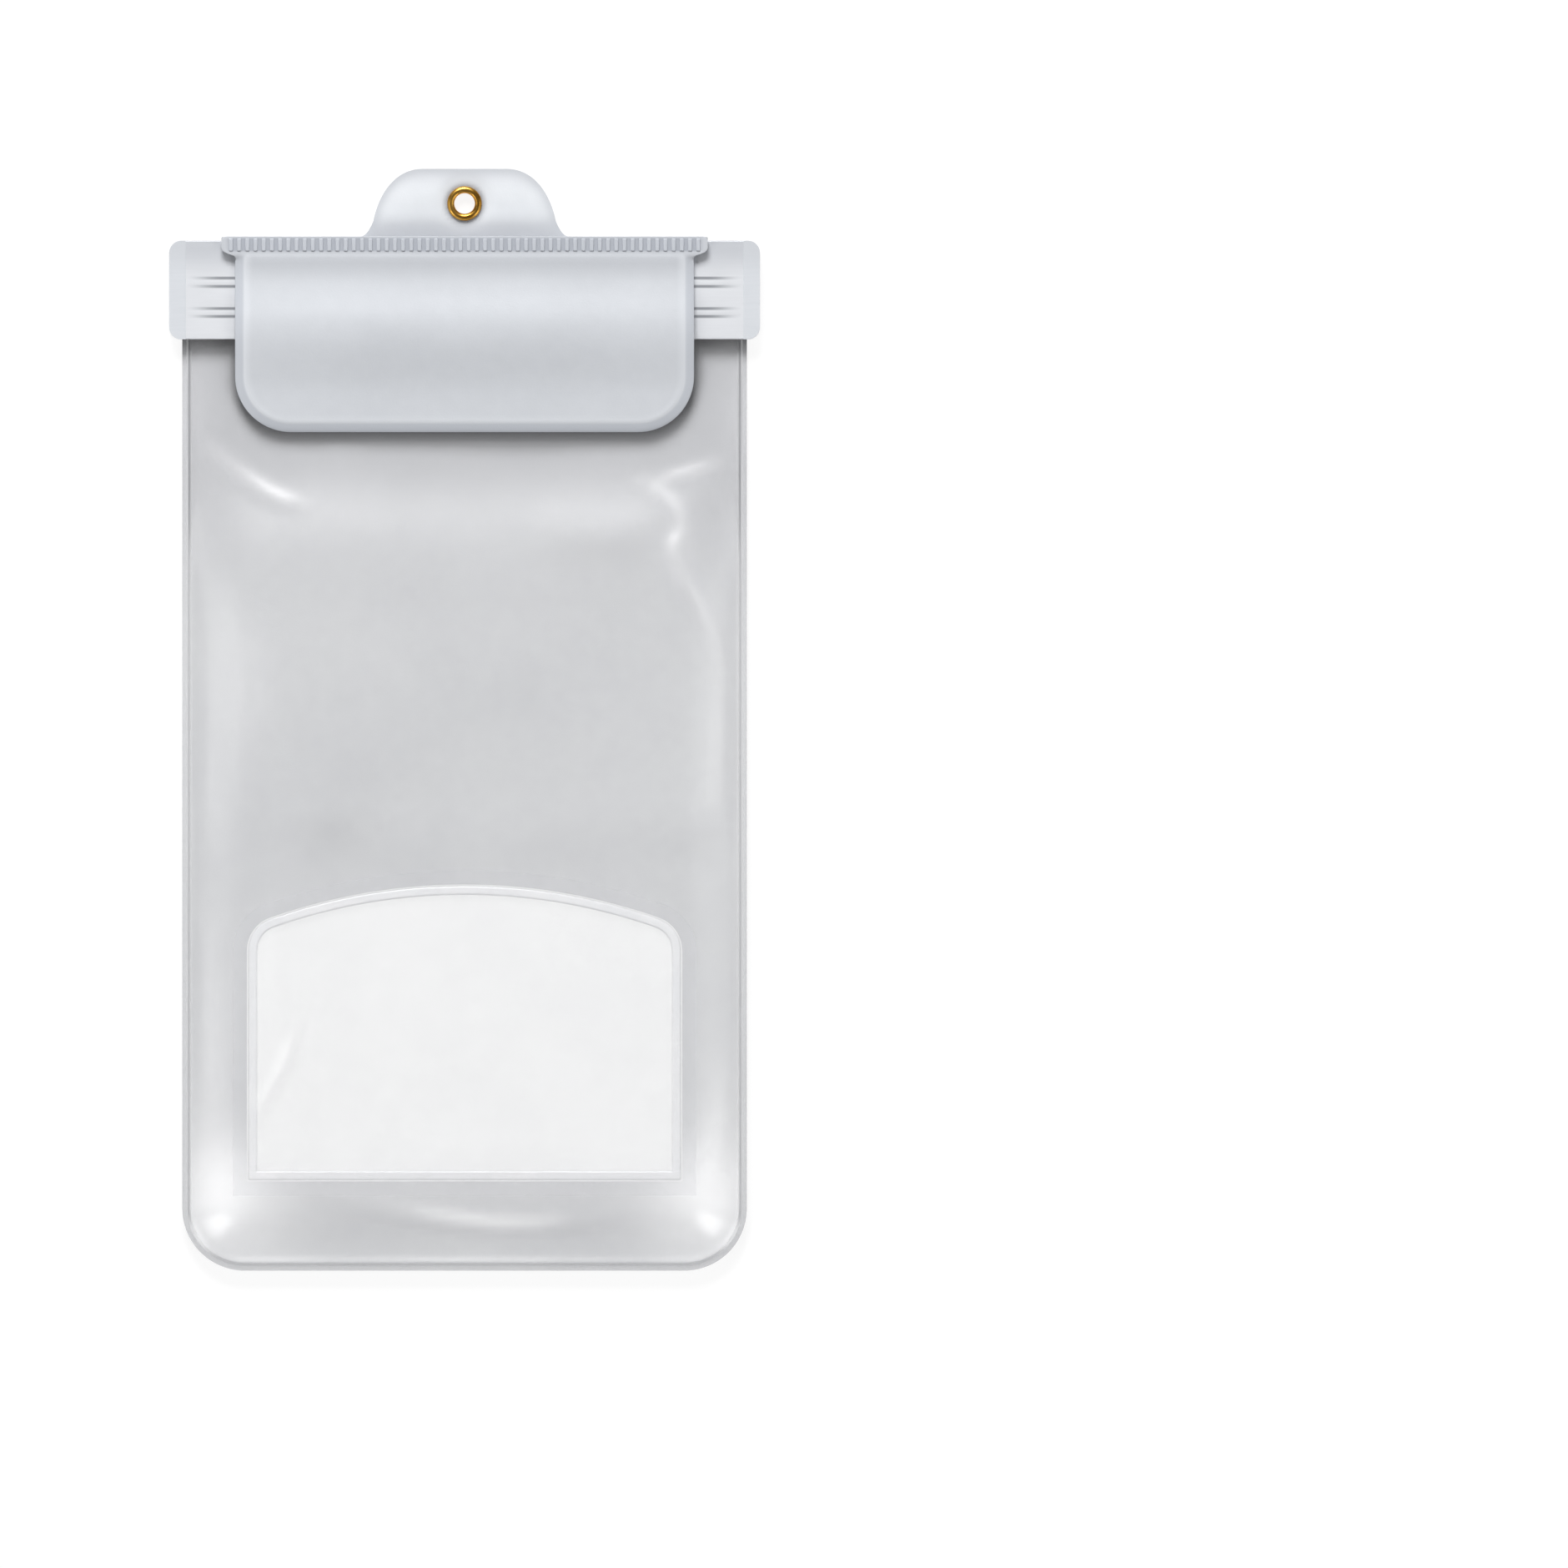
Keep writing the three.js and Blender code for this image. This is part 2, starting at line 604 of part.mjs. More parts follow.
// The hanging tab: a sheet with a wide root welded inside the mouth, and a thicker lobe round the eyelet
function hangingTab() {
  const holeRadius = eyeletHoleRadius + eyeletBarrelWall + eyeletFitGap;
  const outline = new THREE.Shape();
  const foot = tabFootWidth / 2;
  const side = tabSideWidth / 2;
  const rootHalf = bodyHalf - tabRootInset;
  outline.moveTo(-rootHalf, ySpineTop);
  outline.lineTo(-rootHalf, yRootBottom);
  outline.lineTo(rootHalf, yRootBottom);
  outline.lineTo(rootHalf, ySpineTop);
  outline.lineTo(foot, ySpineTop);
  outline.quadraticCurveTo((side + foot) / 2, ySpineTop, side, ySpineTop + tabShoulderRise);
  tabCurve(outline, 0);
  outline.quadraticCurveTo(-(side + foot) / 2, ySpineTop, -foot, ySpineTop);
  outline.holes.push(eyeletHolePath(holeRadius));
  const pad = new THREE.Shape();
  pad.moveTo(side - tabPadInset, ySpineTop + tabPadInset);
  tabCurve(pad, tabPadInset);
  pad.lineTo(tabPadInset - side, ySpineTop + tabPadInset);
  pad.holes.push(eyeletHolePath(eyeletFlangeRadius + eyeletFitGap));
  return toGeometry(joined([
    toSolid(plate(outline, zTab, zTabTop)), toSolid(plate(pad, zTabTop - rootDepth, zPadTop)),
  ]));
}

// A ring turned about the eyelet's axis, from a section in radius and height
function turned(section) {
  const geometry = new THREE.LatheGeometry(section.map(([r, z]) => new THREE.Vector2(r, z)), 32);
  geometry.rotateX(Math.PI / 2);
  geometry.translate(0, yEyelet, 0);
  return geometry;
}

// The eyelet in one piece: the front flange, the barrel through the tab, and the lip rolled over behind
function eyelet() {
  const barrel = eyeletHoleRadius + eyeletBarrelWall;
  const flangeTop = zTabTop + eyeletFlangeHeight;
  const lipTop = zTab - washerThickness;
  const lipLow = lipTop - rolledLipThickness;
  return turned([
    [eyeletHoleRadius, lipLow], [barrel + rolledLipReach, lipLow], [barrel + rolledLipReach, lipTop],
    [barrel, lipTop], [barrel, zTabTop], [eyeletFlangeRadius, zTabTop],
    [eyeletFlangeRadius, flangeTop - eyeletFlangeBevel], [eyeletFlangeRadius - eyeletFlangeBevel, flangeTop],
    [barrel, flangeTop], [eyeletHoleRadius, flangeTop - eyeletMouthBevel], [eyeletHoleRadius, lipLow],
  ]);
}

function eyeletWasher() {
  const inner = eyeletHoleRadius + eyeletBarrelWall + eyeletFitGap;
  const low = zTab - washerThickness;
  return turned([
    [inner, low], [eyeletFlangeRadius, low], [eyeletFlangeRadius, zTab], [inner, zTab], [inner, low],
  ]);
}

const pouch = new THREE.Group();

function addPiece(name, geometry, material) {
  const piece = new THREE.Mesh(geometry, material);
  piece.name = name;
  pouch.add(piece);
}

addPiece('back_panel', backPanel(), greySheet);
addPiece('window_frame', windowFrame(), whiteTrim);
addPiece('window_film', windowFilm(), clearFilm);
addPiece('front_film', frontFilm(), clearFilm);
addPiece('back_closure_strip', backClosureStrip(), paleStrip);
addPiece('front_closure_strip', frontClosureStrip(), paleStrip);
addPiece('flap', flap(), greyFlap);
addPiece('loop_tape', tape(zLoopTape, zHookTape), tapeGrey);
addPiece('hook_tape', tape(zHookTape, zFlapLow), tapeGrey);
addPiece('hanging_tab', hangingTab(), greyFlap);
addPiece('eyelet', eyelet(), brass);
addPiece('eyelet_washer', eyeletWasher(), brass);

export default pouch;
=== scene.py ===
# %% [markdown]
# # A waterproof phone pouch
#
# The real pouch is two plastic sheets welded together round three edges: a clear one in front and a grey
# one behind. Its mouth is pressed shut by two tracks inside a stiff band, a flap folds down over the
# band, and a tab with an eyelet stands up behind it. In the back sheet there is a clear window for a
# camera. Almost everything is thin and soft, so this lesson is mostly about sheets: how to lay a net of
# faces that follows a rounded outline, and how to lift it into folds and swellings.

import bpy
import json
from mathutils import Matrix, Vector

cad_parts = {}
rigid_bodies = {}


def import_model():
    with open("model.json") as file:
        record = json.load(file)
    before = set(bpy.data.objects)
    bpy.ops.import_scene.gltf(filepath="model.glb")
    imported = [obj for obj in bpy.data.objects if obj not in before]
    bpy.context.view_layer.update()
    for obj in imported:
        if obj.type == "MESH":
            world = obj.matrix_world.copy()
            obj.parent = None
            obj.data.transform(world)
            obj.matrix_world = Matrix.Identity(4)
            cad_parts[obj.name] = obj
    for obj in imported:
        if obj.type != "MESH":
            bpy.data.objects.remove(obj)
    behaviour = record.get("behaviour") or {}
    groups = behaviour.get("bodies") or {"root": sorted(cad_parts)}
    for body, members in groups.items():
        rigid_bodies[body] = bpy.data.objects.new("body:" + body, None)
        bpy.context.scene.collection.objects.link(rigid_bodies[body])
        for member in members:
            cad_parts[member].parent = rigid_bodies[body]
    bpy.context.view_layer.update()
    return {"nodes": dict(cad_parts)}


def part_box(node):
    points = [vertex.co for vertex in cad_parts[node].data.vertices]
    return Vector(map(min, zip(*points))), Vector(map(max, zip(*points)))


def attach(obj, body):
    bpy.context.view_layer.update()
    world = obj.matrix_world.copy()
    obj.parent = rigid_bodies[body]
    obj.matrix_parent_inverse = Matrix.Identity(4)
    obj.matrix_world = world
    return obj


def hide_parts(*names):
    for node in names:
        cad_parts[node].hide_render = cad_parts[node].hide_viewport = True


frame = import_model()
print("CAD nodes:", ", ".join(sorted(frame["nodes"])))

# %% Libraries and units
import json
import math

import bmesh
import bpy
import numpy as np
from mathutils import Vector

mm = 0.001

# %% [markdown]
# The frame gives the place of every part of the pouch. The numbers below are read from it once, so that
# each soft piece starts from the solid that it stands for.

# %% Places that the frame gives
body_low, body_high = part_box("back_panel")
film_low, film_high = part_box("front_film")
band_low, band_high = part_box("front_closure_strip")
flap_low, flap_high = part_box("flap")
tab_low, tab_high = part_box("hanging_tab")
eyelet_low, eyelet_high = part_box("eyelet")
bead_low, bead_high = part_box("window_frame")
_, hook_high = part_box("hook_tape")
loop_low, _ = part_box("loop_tape")
body_half = body_high.x
mouth_y = body_high.y - 0.2 * mm
print("body: %.1f by %.1f mm" % (2 * body_half / mm, (body_high.y - body_low.y) / mm))

# %% [markdown]
# Blender's operators act on whatever is selected. These helpers keep that under control: editing always
# starts with nothing selected, and points, edges or faces are then picked in code by their place or by
# the way they face.

# %% Helpers for selecting
def deselect_all():
    bpy.ops.object.select_all(action="DESELECT")


def make_active(piece):
    deselect_all()
    piece.select_set(True)
    bpy.context.view_layer.objects.active = piece


def edit(piece, kind="FACE"):
    make_active(piece)
    bpy.ops.object.mode_set(mode="EDIT")
    bpy.ops.mesh.select_mode(type=kind)
    bpy.ops.mesh.select_all(action="DESELECT")


def done():
    bpy.ops.object.mode_set(mode="OBJECT")


def pick(piece, test, kind="faces"):
    """Selects the faces, edges or vertices whose middle passes the test, in edit mode."""
    mesh = bmesh.from_edit_mesh(piece.data)
    found = 0
    for part in getattr(mesh, kind):
        corners = [part.co] if kind == "verts" else [v.co for v in part.verts]
        middle = sum(corners, Vector()) / len(corners)
        normal = part.normal if kind != "edges" else None
        chosen = bool(test(middle, normal))
        part.select_set(chosen)
        found += chosen
    mesh.select_flush_mode()
    bmesh.update_edit_mesh(piece.data)
    return found


# %% [markdown]
# The next helpers do what every piece needs: apply a modifier, move a place into the mesh, shade it, keep
# numbers at its points for its material, and hand it over as what it stands for.

# %% Helpers for modifiers and for handing a piece over
def modify(piece, kind, **settings):
    """Adds a modifier and applies it at once."""
    make_active(piece)
    modifier = piece.modifiers.new(kind.title(), kind)
    for name, value in settings.items():
        setattr(modifier, name, value)
    bpy.ops.object.modifier_apply(modifier=modifier.name)


def place_in_mesh(piece):
    make_active(piece)
    bpy.ops.object.transform_apply(location=True, rotation=True, scale=True)


def smooth(piece, degrees=40):
    make_active(piece)
    bpy.ops.object.shade_smooth_by_angle(angle=math.radians(degrees))


def crisp(piece, degrees=35):
    """Smooth bevels between flats that stay flat."""
    smooth(piece, degrees)
    modify(piece, "WEIGHTED_NORMAL", keep_sharp=True, weight=100)


def mark(piece, name, values):
    """Keeps a number for every point of a net, for its material to read."""
    attribute = piece.data.attributes.new(name, "FLOAT", "POINT")
    attribute.data.foreach_set("value", np.asarray(values, dtype=np.float32))


def new_piece(name, corners, edges=(), faces=()):
    """A piece from bare corners, for the operators to shape."""
    mesh = bpy.data.meshes.new(name)
    mesh.from_pydata(corners, edges, faces)
    piece = bpy.data.objects.new(name, mesh)
    bpy.context.scene.collection.objects.link(piece)
    return piece


def face_outwards():
    """Turns every face of the piece being edited outwards, and ends the editing."""
    bpy.ops.mesh.select_all(action="SELECT")
    bpy.ops.mesh.normals_make_consistent(inside=False)
    done()


def join(pieces):
    deselect_all()
    for piece in pieces:
        piece.select_set(True)
    bpy.context.view_layer.objects.active = pieces[0]
    bpy.ops.object.join()
    return pieces[0]


def hand_over(piece, slot, *nodes):
    """Every new piece rides on the pouch's one body and stands for the nodes named."""
    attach(piece, "root")
    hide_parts(*nodes)
    size = piece.dimensions / mm
    print("%s: %.1f x %.1f x %.1f mm, %d faces" % (piece.name, *size, len(piece.data.polygons)))


# %% [markdown]
# ## A net that follows a rounded edge
#
# A sheet with rounded corners could be cut from a plain grid, but then the cut would cross the faces at
# odd angles, and a weld line along the edge would come out ragged. Here the grid's own lines follow the
# edge instead. Each corner starts as a square of the grid, and its points slide towards the corner's
# centre until the rings of the square have become rings of a circle.

# %% Stations along one side of a net
def stations(low, high, step, stops=(), close=()):
    """Places from low to high about a step apart, through each stop, and closer together near some."""
    marks = sorted({low, high, *[s for s in stops if low < s < high]})
    places = [low]
    for start, end in zip(marks, marks[1:]):
        fine = any(start <= c <= end for c in close)
        count = max(1, math.ceil((end - start) / (step / 3 if fine else step) - 1e-6))
        places += [start + (end - start) * k / count for k in range(1, count + 1)]
    return np.array(places)


# %% A rounded net
def rounded_net(name, columns, rows, low_radius=0.0, high_radius=0.0):
    """A flat grid whose corners are rounded. The points are returned as two arrays."""
    deselect_all()
    bpy.ops.mesh.primitive_grid_add(x_subdivisions=len(columns) - 1, y_subdivisions=len(rows) - 1, size=1)
    piece = bpy.context.object
    piece.name = piece.data.name = name
    flat = read_points(piece)
    across = np.rint((flat[:, 0] + 0.5) * (len(columns) - 1)).astype(int)
    along = np.rint((flat[:, 1] + 0.5) * (len(rows) - 1)).astype(int)
    x, y = columns[across], rows[along]
    for radius, edge, sign in ((low_radius, rows[0], -1), (high_radius, rows[-1], 1)):
        if radius > 0:
            past_x = np.abs(x) - (columns[-1] - radius)
            past_y = sign * (y - edge) + radius
            corner = (past_x > 0) & (past_y > 0)
            pull = np.where(corner, np.maximum(past_x, past_y) / np.hypot(past_x, past_y), 1)
            x = np.where(corner, np.sign(x) * (columns[-1] - radius + past_x * pull), x)
            y = np.where(corner, edge + sign * (past_y * pull - radius), y)
    return piece, x, y


def read_points(piece):
    points = np.empty(len(piece.data.vertices) * 3)
    piece.data.vertices.foreach_get("co", points)
    return points.reshape(-1, 3)


def write_points(piece, x, y, z):
    piece.data.vertices.foreach_set("co", np.column_stack([x, y, z]).ravel())
    piece.data.update()


# %% Smooth steps, bumps and distances
def step(start, end, value):
    t = np.clip((value - start) / (end - start), 0, 1)
    return t * t * (3 - 2 * t)


def bump(centre, width, value):
    return np.exp(-(((value - centre) / width) ** 2))


def rim_distance(x, y, half, low, high, low_radius, high_radius):
    """How far inside a rounded rectangle each point is. A side at infinity is no edge."""
    reach = np.abs(x) - half
    distance = np.minimum(-reach, np.minimum(y - low, high - y))
    for radius, past_y in ((low_radius, low + low_radius - y), (high_radius, y - high + high_radius)):
        past_x = reach + radius
        corner = (past_x > 0) & (past_y > 0)
        distance = np.where(corner, radius - np.hypot(past_x, past_y), distance)
    return distance


# %% [markdown]
# ## Folds
#
# A fold in film is a narrow ridge that wanders and dies out at both ends. It could be pushed up by hand
# with a brush. In code it is a line of a few points: every point of the sheet finds its distance to that
# line, and rises by an amount that falls off with the distance and towards the line's ends.

# %% Distance to a wandering line
def smooth_line(points, per_span=8):
    """A Catmull-Rom curve through a few points, as many short straight pieces."""
    points = [np.array(p, float) * mm for p in points]
    padded = [2 * points[0] - points[1], *points, 2 * points[-1] - points[-2]]
    line = []
    for a, b, c, d in zip(padded, padded[1:], padded[2:], padded[3:]):
        for k in range(per_span):
            t = k / per_span
            line.append(0.5 * (2 * b + (c - a) * t + (2 * a - 5 * b + 4 * c - d) * t**2
                               + (3 * b - a - 3 * c + d) * t**3))
    return np.array([*line, points[-1]])


def along_line(x, y, line):
    """Distance of each point from a line, and how far along it the nearest place is, from 0 to 1."""
    place = np.column_stack([x, y])
    best = np.full(len(x), np.inf)
    share = np.zeros(len(x))
    for index, (start, end) in enumerate(zip(line, line[1:])):
        run = end - start
        t = np.clip(((place - start) @ run) / (run @ run), 0, 1)
        gap = np.hypot(*(place - start - np.outer(t, run)).T)
        nearer = gap < best
        best = np.where(nearer, gap, best)
        share = np.where(nearer, (index + t) / (len(line) - 1), share)
    return best, share


def fold(x, y, points, width):
    """How strongly each point belongs to a fold, from 0 to 1."""
    gap, share = along_line(x, y, smooth_line(points))
    fade = np.sin(np.pi * np.clip(share, 0.02, 0.98)) ** 0.6
    return np.exp(-((gap / width) ** 2)) * fade


# %% [markdown]
# ## Finishes
#
# Shader maths reads best as plain arithmetic. A wire is one output of a node, and adding or multiplying
# wires adds the Math nodes behind the scenes. Every other node comes from one method, which sets the
# node's own settings first and then the values or wires of its sockets.

# %% Wires and paints
class Wire:
    def __init__(self, paint, socket):
        self.paint = paint
        self.socket = socket

    def maths(self, operation, *values):
        return self.paint.node("ShaderNodeMath", {"operation": operation}, dict(enumerate(values)))

    def __add__(self, other):
        return self.maths("ADD", self, other)

    def __sub__(self, other):
        return self.maths("SUBTRACT", self, other)

    def __rsub__(self, other):
        return self.maths("SUBTRACT", other, self)

    def __mul__(self, other):
        return self.maths("MULTIPLY", self, other)

    def absolute(self):
        return self.maths("ABSOLUTE", self)

    def larger(self, other):
        return self.maths("MAXIMUM", self, other)

    __radd__ = __add__
    __rmul__ = __mul__


class Paint:
    """A material under construction."""

    def __init__(self, name):
        self.material = bpy.data.materials.new(name)
        self.material.use_nodes = True
        self.tree = self.material.node_tree
        self.tree.nodes.clear()

    def node(self, kind, settings=None, sockets=None, output=0):
        made = self.tree.nodes.new(kind)
        for name, value in (settings or {}).items():
            setattr(made, name, value)
        for name, value in (sockets or {}).items():
            if isinstance(value, Wire):
                self.tree.links.new(value.socket, made.inputs[name])
            else:
                made.inputs[name].default_value = value
        return Wire(self, made.outputs[output]) if made.outputs else None

    def place(self):
        return self.node("ShaderNodeTexCoord", output="Object")

    def noise(self, size, detail=3.0, roughness=0.5):
        sockets = {"Vector": self.place(), "Scale": 1 / size, "Detail": detail, "Roughness": roughness}
        return self.node("ShaderNodeTexNoise", None, sockets)

    def spread(self, value, low, high, to_low=0.0, to_high=1.0):
        sockets = {"Value": value, "From Min": low, "From Max": high, "To Min": to_low, "To Max": to_high}
        return self.node("ShaderNodeMapRange", {"interpolation_type": "SMOOTHSTEP"}, sockets)

    def marked(self, name):
        return self.node("ShaderNodeAttribute", {"attribute_name": name}, output="Fac")

    def fade(self, start, end):
        """From 0 at one height along Y to 1 at another."""
        height = self.node("ShaderNodeSeparateXYZ", None, {"Vector": self.place()}, output="Y")
        return self.spread(height, start, end)

    def painted_groove_shade(self, lines):
        """Painted shade in the grooves, as thin dark lines that die out near the strip's ends."""
        line_core, line_edge = 0.16 * mm, 0.52 * mm
        fade_start, fade_end = 58 * mm, 67 * mm
        across = self.node("ShaderNodeSeparateXYZ", None, {"Vector": self.place()})
        along = Wire(self, across.socket.node.outputs["Y"])
        line_shade = 0.0
        for line in lines:
            line_shade = line_shade + self.spread((along - line).absolute(), line_core, line_edge, 1.0, 0.0)
        return 0.85 * line_shade * self.spread(across.absolute(), fade_start, fade_end, 1.0, 0.0)

    def mix(self, factor, first, second):
        return self.node("ShaderNodeMix", {"data_type": "RGBA"}, {0: factor, 6: first, 7: second}, output=2)

    def relief(self, height, distance, strength=1.0):
        sockets = {"Height": height, "Distance": distance, "Strength": strength}
        return self.node("ShaderNodeBump", None, sockets)

    def principled(self, **sockets):
        named = {name.replace("_", " "): value for name, value in sockets.items()}
        return self.node("ShaderNodeBsdfPrincipled", None, named)

    def finish(self, shader):
        self.node("ShaderNodeOutputMaterial", None, {"Surface": shader})
        print("material", self.material.name, "has", len(self.tree.nodes), "nodes")
        return self.material


# %% Colours as they are seen
def seen(red, green, blue):
    """A colour as a screen shows it, from 0 to 255, made the linear one that shaders take."""
    def linear(level):
        share = level / 255
        return share / 12.92 if share <= 0.04045 else ((share + 0.055) / 1.055) ** 2.4

    return (linear(red), linear(green), linear(blue), 1.0)


def dress(piece, material):
    piece.data.materials.clear()
    piece.data.materials.append(material)


# %% [markdown]
# ### Grey sheet
#
# The back, the flap and the tab are one kind of material: soft plastic sheet with a satin skin. Looked
# at closely it has a fine pebble grain, a faint cloudiness from the pressing, and places where handling
# has polished it. So the colour drifts a little, the roughness follows its own slower noise, and the
# grain is a bump of a few hundredths of a millimetre.

# %% Grey sheet
def grey_sheet(name, light, dark, rough=0.5, shades=(), marks=()):
    """A shade is a stretch along Y with a strength and a tone; a mark is an attribute with a tone."""
    paint = Paint(name)
    clouds = paint.noise(38 * mm, 3.0, 0.55)
    mottle = paint.noise(3.2 * mm, 4.0, 0.6)
    grain = paint.noise(0.42 * mm, 2.0, 0.55)
    cloud_share = paint.spread(clouds, 0.32, 0.68)
    mottle_share = paint.spread(mottle, 0.3, 0.7)
    colour = paint.mix(cloud_share * 0.7 + mottle_share * 0.3, dark, light)
    for start, end, strength, shade in shades:
        colour = paint.mix(strength * paint.fade(start, end), colour, shade)
    for mark_name, shade in marks:
        colour = paint.mix(paint.marked(mark_name), colour, shade)
    roughness = rough - 0.09 * cloud_share + 0.05 * mottle_share
    relief = paint.relief(grain + 0.6 * mottle, 0.035 * mm, 0.55)
    return paint.finish(paint.principled(
        Base_Color=colour, Roughness=roughness, Normal=relief,
        Coat_Weight=0.12, Coat_Roughness=0.32, IOR=1.47,
    ))


# %% [markdown]
# Each sheet of the pouch is this one plastic in its own tone. Tones are written as a screen shows them.
# Every darkening over a stretch of a sheet's length is painted shade: the back sheet towards the mouth,
# inside and out, the flap towards the spine, and the tab at its foot and at its top. The attributes carry
# more painted light and shade: shade in the back sheet's hollows and along the window's edge; on its
# inner side a painted light in the pocket's low corners and lowest crease, and a painted shadow beside
# the closure; shade on the flap's rim and between its ribs, with a painted highlight along its panel's
# edge; and shade along the tab's edge and in the ring round its eyelet. The back sheet's inner side is a
# darker, shaded copy of its outer finish.

# %% Tones of the grey sheets
sheet_grey = grey_sheet("grey_sheet", seen(230, 233, 238), seen(224, 227, 232), 0.5, [
    (24 * mm, 98 * mm, 0.95, seen(170, 173, 178)),
    (96 * mm, 104 * mm, 0.8, seen(180, 183, 188)),
], [("painted_hollow_shade", seen(112, 117, 126)), ("painted_window_edge_shade", seen(160, 163, 168))])
sheet_inside = grey_sheet("grey_sheet_inside", seen(201, 202, 204), seen(193, 194, 197), 0.5, [
    (16 * mm, 70 * mm, 0.9, seen(170, 171, 175)),
], [("lit", seen(250, 250, 251)), ("shade", seen(96, 97, 99))])
flap_grey = grey_sheet("grey_flap", seen(212, 215, 220), seen(206, 209, 214), 0.4, [
    (104 * mm, 111 * mm, 0.55, seen(190, 193, 199)),
], [("rim", seen(198, 202, 209)), ("painted_panel_highlight", seen(226, 229, 234)), ("painted_rib_gap_shade", seen(174, 178, 186))])
spine_grey = grey_sheet("grey_spine", seen(196, 200, 207), seen(190, 194, 201), 0.5)
tab_grey = grey_sheet("grey_tab", seen(227, 230, 234), seen(221, 224, 228), 0.42, [
    (122.5 * mm, 115.5 * mm, 0.85, seen(184, 186, 191)),
    (126 * mm, 132.1 * mm, 0.8, seen(204, 206, 211)),
], [("rim", seen(198, 201, 206)), ("pressed", seen(150, 152, 157))])


# %% [markdown]
# ### Moulded strip
#
# The band is stiffer, paler and smoother than the sheets. It is extruded, so its faint waviness runs
# along it and its skin has hairline streaks in the same direction. Stretching a noise along X gives both.
# Its grooves get fine dark lines of painted shade, and it is painted darker towards its top edge.

# %% Moulded strip
def moulded_strip(name, light, dark, shade, lines=()):
    paint = Paint(name)
    along_stretch, streak_size = 0.06, 0.5 * mm
    shade_start, shade_end = 105 * mm, 113.5 * mm
    stretched = paint.node("ShaderNodeMapping", {"vector_type": "POINT"}, {
        "Vector": paint.place(), "Scale": (along_stretch, 1.0, 1.0),
    })
    streaks = paint.node("ShaderNodeTexNoise", None, {
        "Vector": stretched, "Scale": 1 / streak_size, "Detail": 3.0,
    })
    clouds = paint.noise(22 * mm, 2.0)
    streak_share = paint.spread(streaks, 0.3, 0.7)
    cloud_share = paint.spread(clouds, 0.3, 0.7)
    colour = paint.mix(0.35 * streak_share + 0.65 * cloud_share, dark, light)
    # Painted shade: darker towards the strip's top edge.
    colour = paint.mix(0.75 * paint.fade(shade_start, shade_end), colour, shade)
    # Painted shade in the grooves.
    if lines:
        colour = paint.mix(paint.painted_groove_shade(lines), colour, seen(128, 131, 137))
    roughness = 0.3 + 0.1 * streak_share
    relief = paint.relief(streaks, 0.02 * mm, 0.4)
    return paint.finish(paint.principled(
        Base_Color=colour, Roughness=roughness, Normal=relief,
        Coat_Weight=0.25, Coat_Roughness=0.15, IOR=1.5,
    ))


groove_lines = [105.9 * mm, 103.9 * mm, 98.6 * mm, 96.7 * mm]
strip_pale = moulded_strip(
    "closure_strip", seen(226, 228, 232), seen(220, 222, 226), seen(191, 194, 200), groove_lines,
)
cap_pale = moulded_strip("closure_cap", seen(219, 222, 227), seen(212, 216, 221), seen(204, 207, 212))
# A darker copy of the finish for the faces that look down: painted shade.
cap_painted_shade = moulded_strip("closure_cap_under", seen(184, 187, 192), seen(177, 180, 185), seen(172, 175, 180))


# %% [markdown]
# ### White bead
#
# The raised frame round the camera window is glossy white plastic, with a slight orange-peel from the
# mould.

# %% White bead
def white_bead():
    paint = Paint("white_trim")
    peel = paint.noise(1.1 * mm, 2.0)
    clouds = paint.noise(14 * mm, 2.0)
    share = paint.spread(clouds, 0.3, 0.7)
    colour = paint.mix(share, seen(240, 241, 243), seen(248, 248, 249))
    return paint.finish(paint.principled(
        Base_Color=colour, Roughness=0.3 - 0.08 * share, Normal=paint.relief(peel, 0.02 * mm, 0.4),
        Coat_Weight=0.4, Coat_Roughness=0.1, IOR=1.5,
    ))


bead_white = white_bead()


# %% [markdown]
# ### Clear film
#
# Clear film isn't invisible. It shows by its gloss, by a faint milky haze, and by the places where it is
# creased or welded, which are cloudier. Each sheet here has a front and a back face, so a ray meets the
# film twice, and each face only needs to stop a small share of the light. The front carries three
# attributes, each from 0 to 1. The first says how cloudy a point is, how creased or welded, and also holds
# a painted glow near the weld, along the low end and in the low corners. The seam follows the edge of
# the weld, and the shade is a painted shadow, strong right beside the closure.

# %% Clear film
def clear_film(name, haze, most, tint, rough, with_marks=True):
    paint = Paint(name)
    drift = paint.spread(paint.noise(26 * mm, 3.0, 0.5), 0.3, 0.7)
    fine = paint.noise(0.9 * mm, 2.0)
    alpha = haze + 0.2 * haze * drift
    colour = tint
    if with_marks:
        # The cloudiness whitens the film, partly as a painted glow; the seam is a dark weld line; the shade
        # is a painted shadow beside the closure.
        seam, shade = paint.marked("seam"), paint.marked("shade")
        alpha = alpha + (most - 1.2 * haze) * paint.marked("cloud_and_painted_glow") + 0.4 * seam + 0.12 * shade
        colour = paint.mix(seam, tint, seen(136, 137, 140))
        colour = paint.mix(shade, colour, seen(104, 105, 107))
    roughness = rough + 0.05 * drift
    relief = paint.relief(fine, 0.012 * mm, 0.25)
    return paint.finish(paint.principled(
        Base_Color=colour, Roughness=roughness, Normal=relief, Alpha=alpha,
        Coat_Weight=1.0, Coat_Roughness=0.28, Coat_IOR=2.6, IOR=1.6,
    ))


film_clear = clear_film("clear_film", 0.11, 0.24, seen(250, 250, 251), 0.24)
pane_clear = clear_film("clear_pane", 0.14, 0.14, seen(214, 215, 218), 0.16, with_marks=False)


# %% [markdown]
# ### Brass
#
# The eyelet is polished brass. Its colour comes almost wholly from what it reflects, so the detail is in
# the roughness: fine turning marks round the hole, and a slightly duller, darker tone in the worn places.

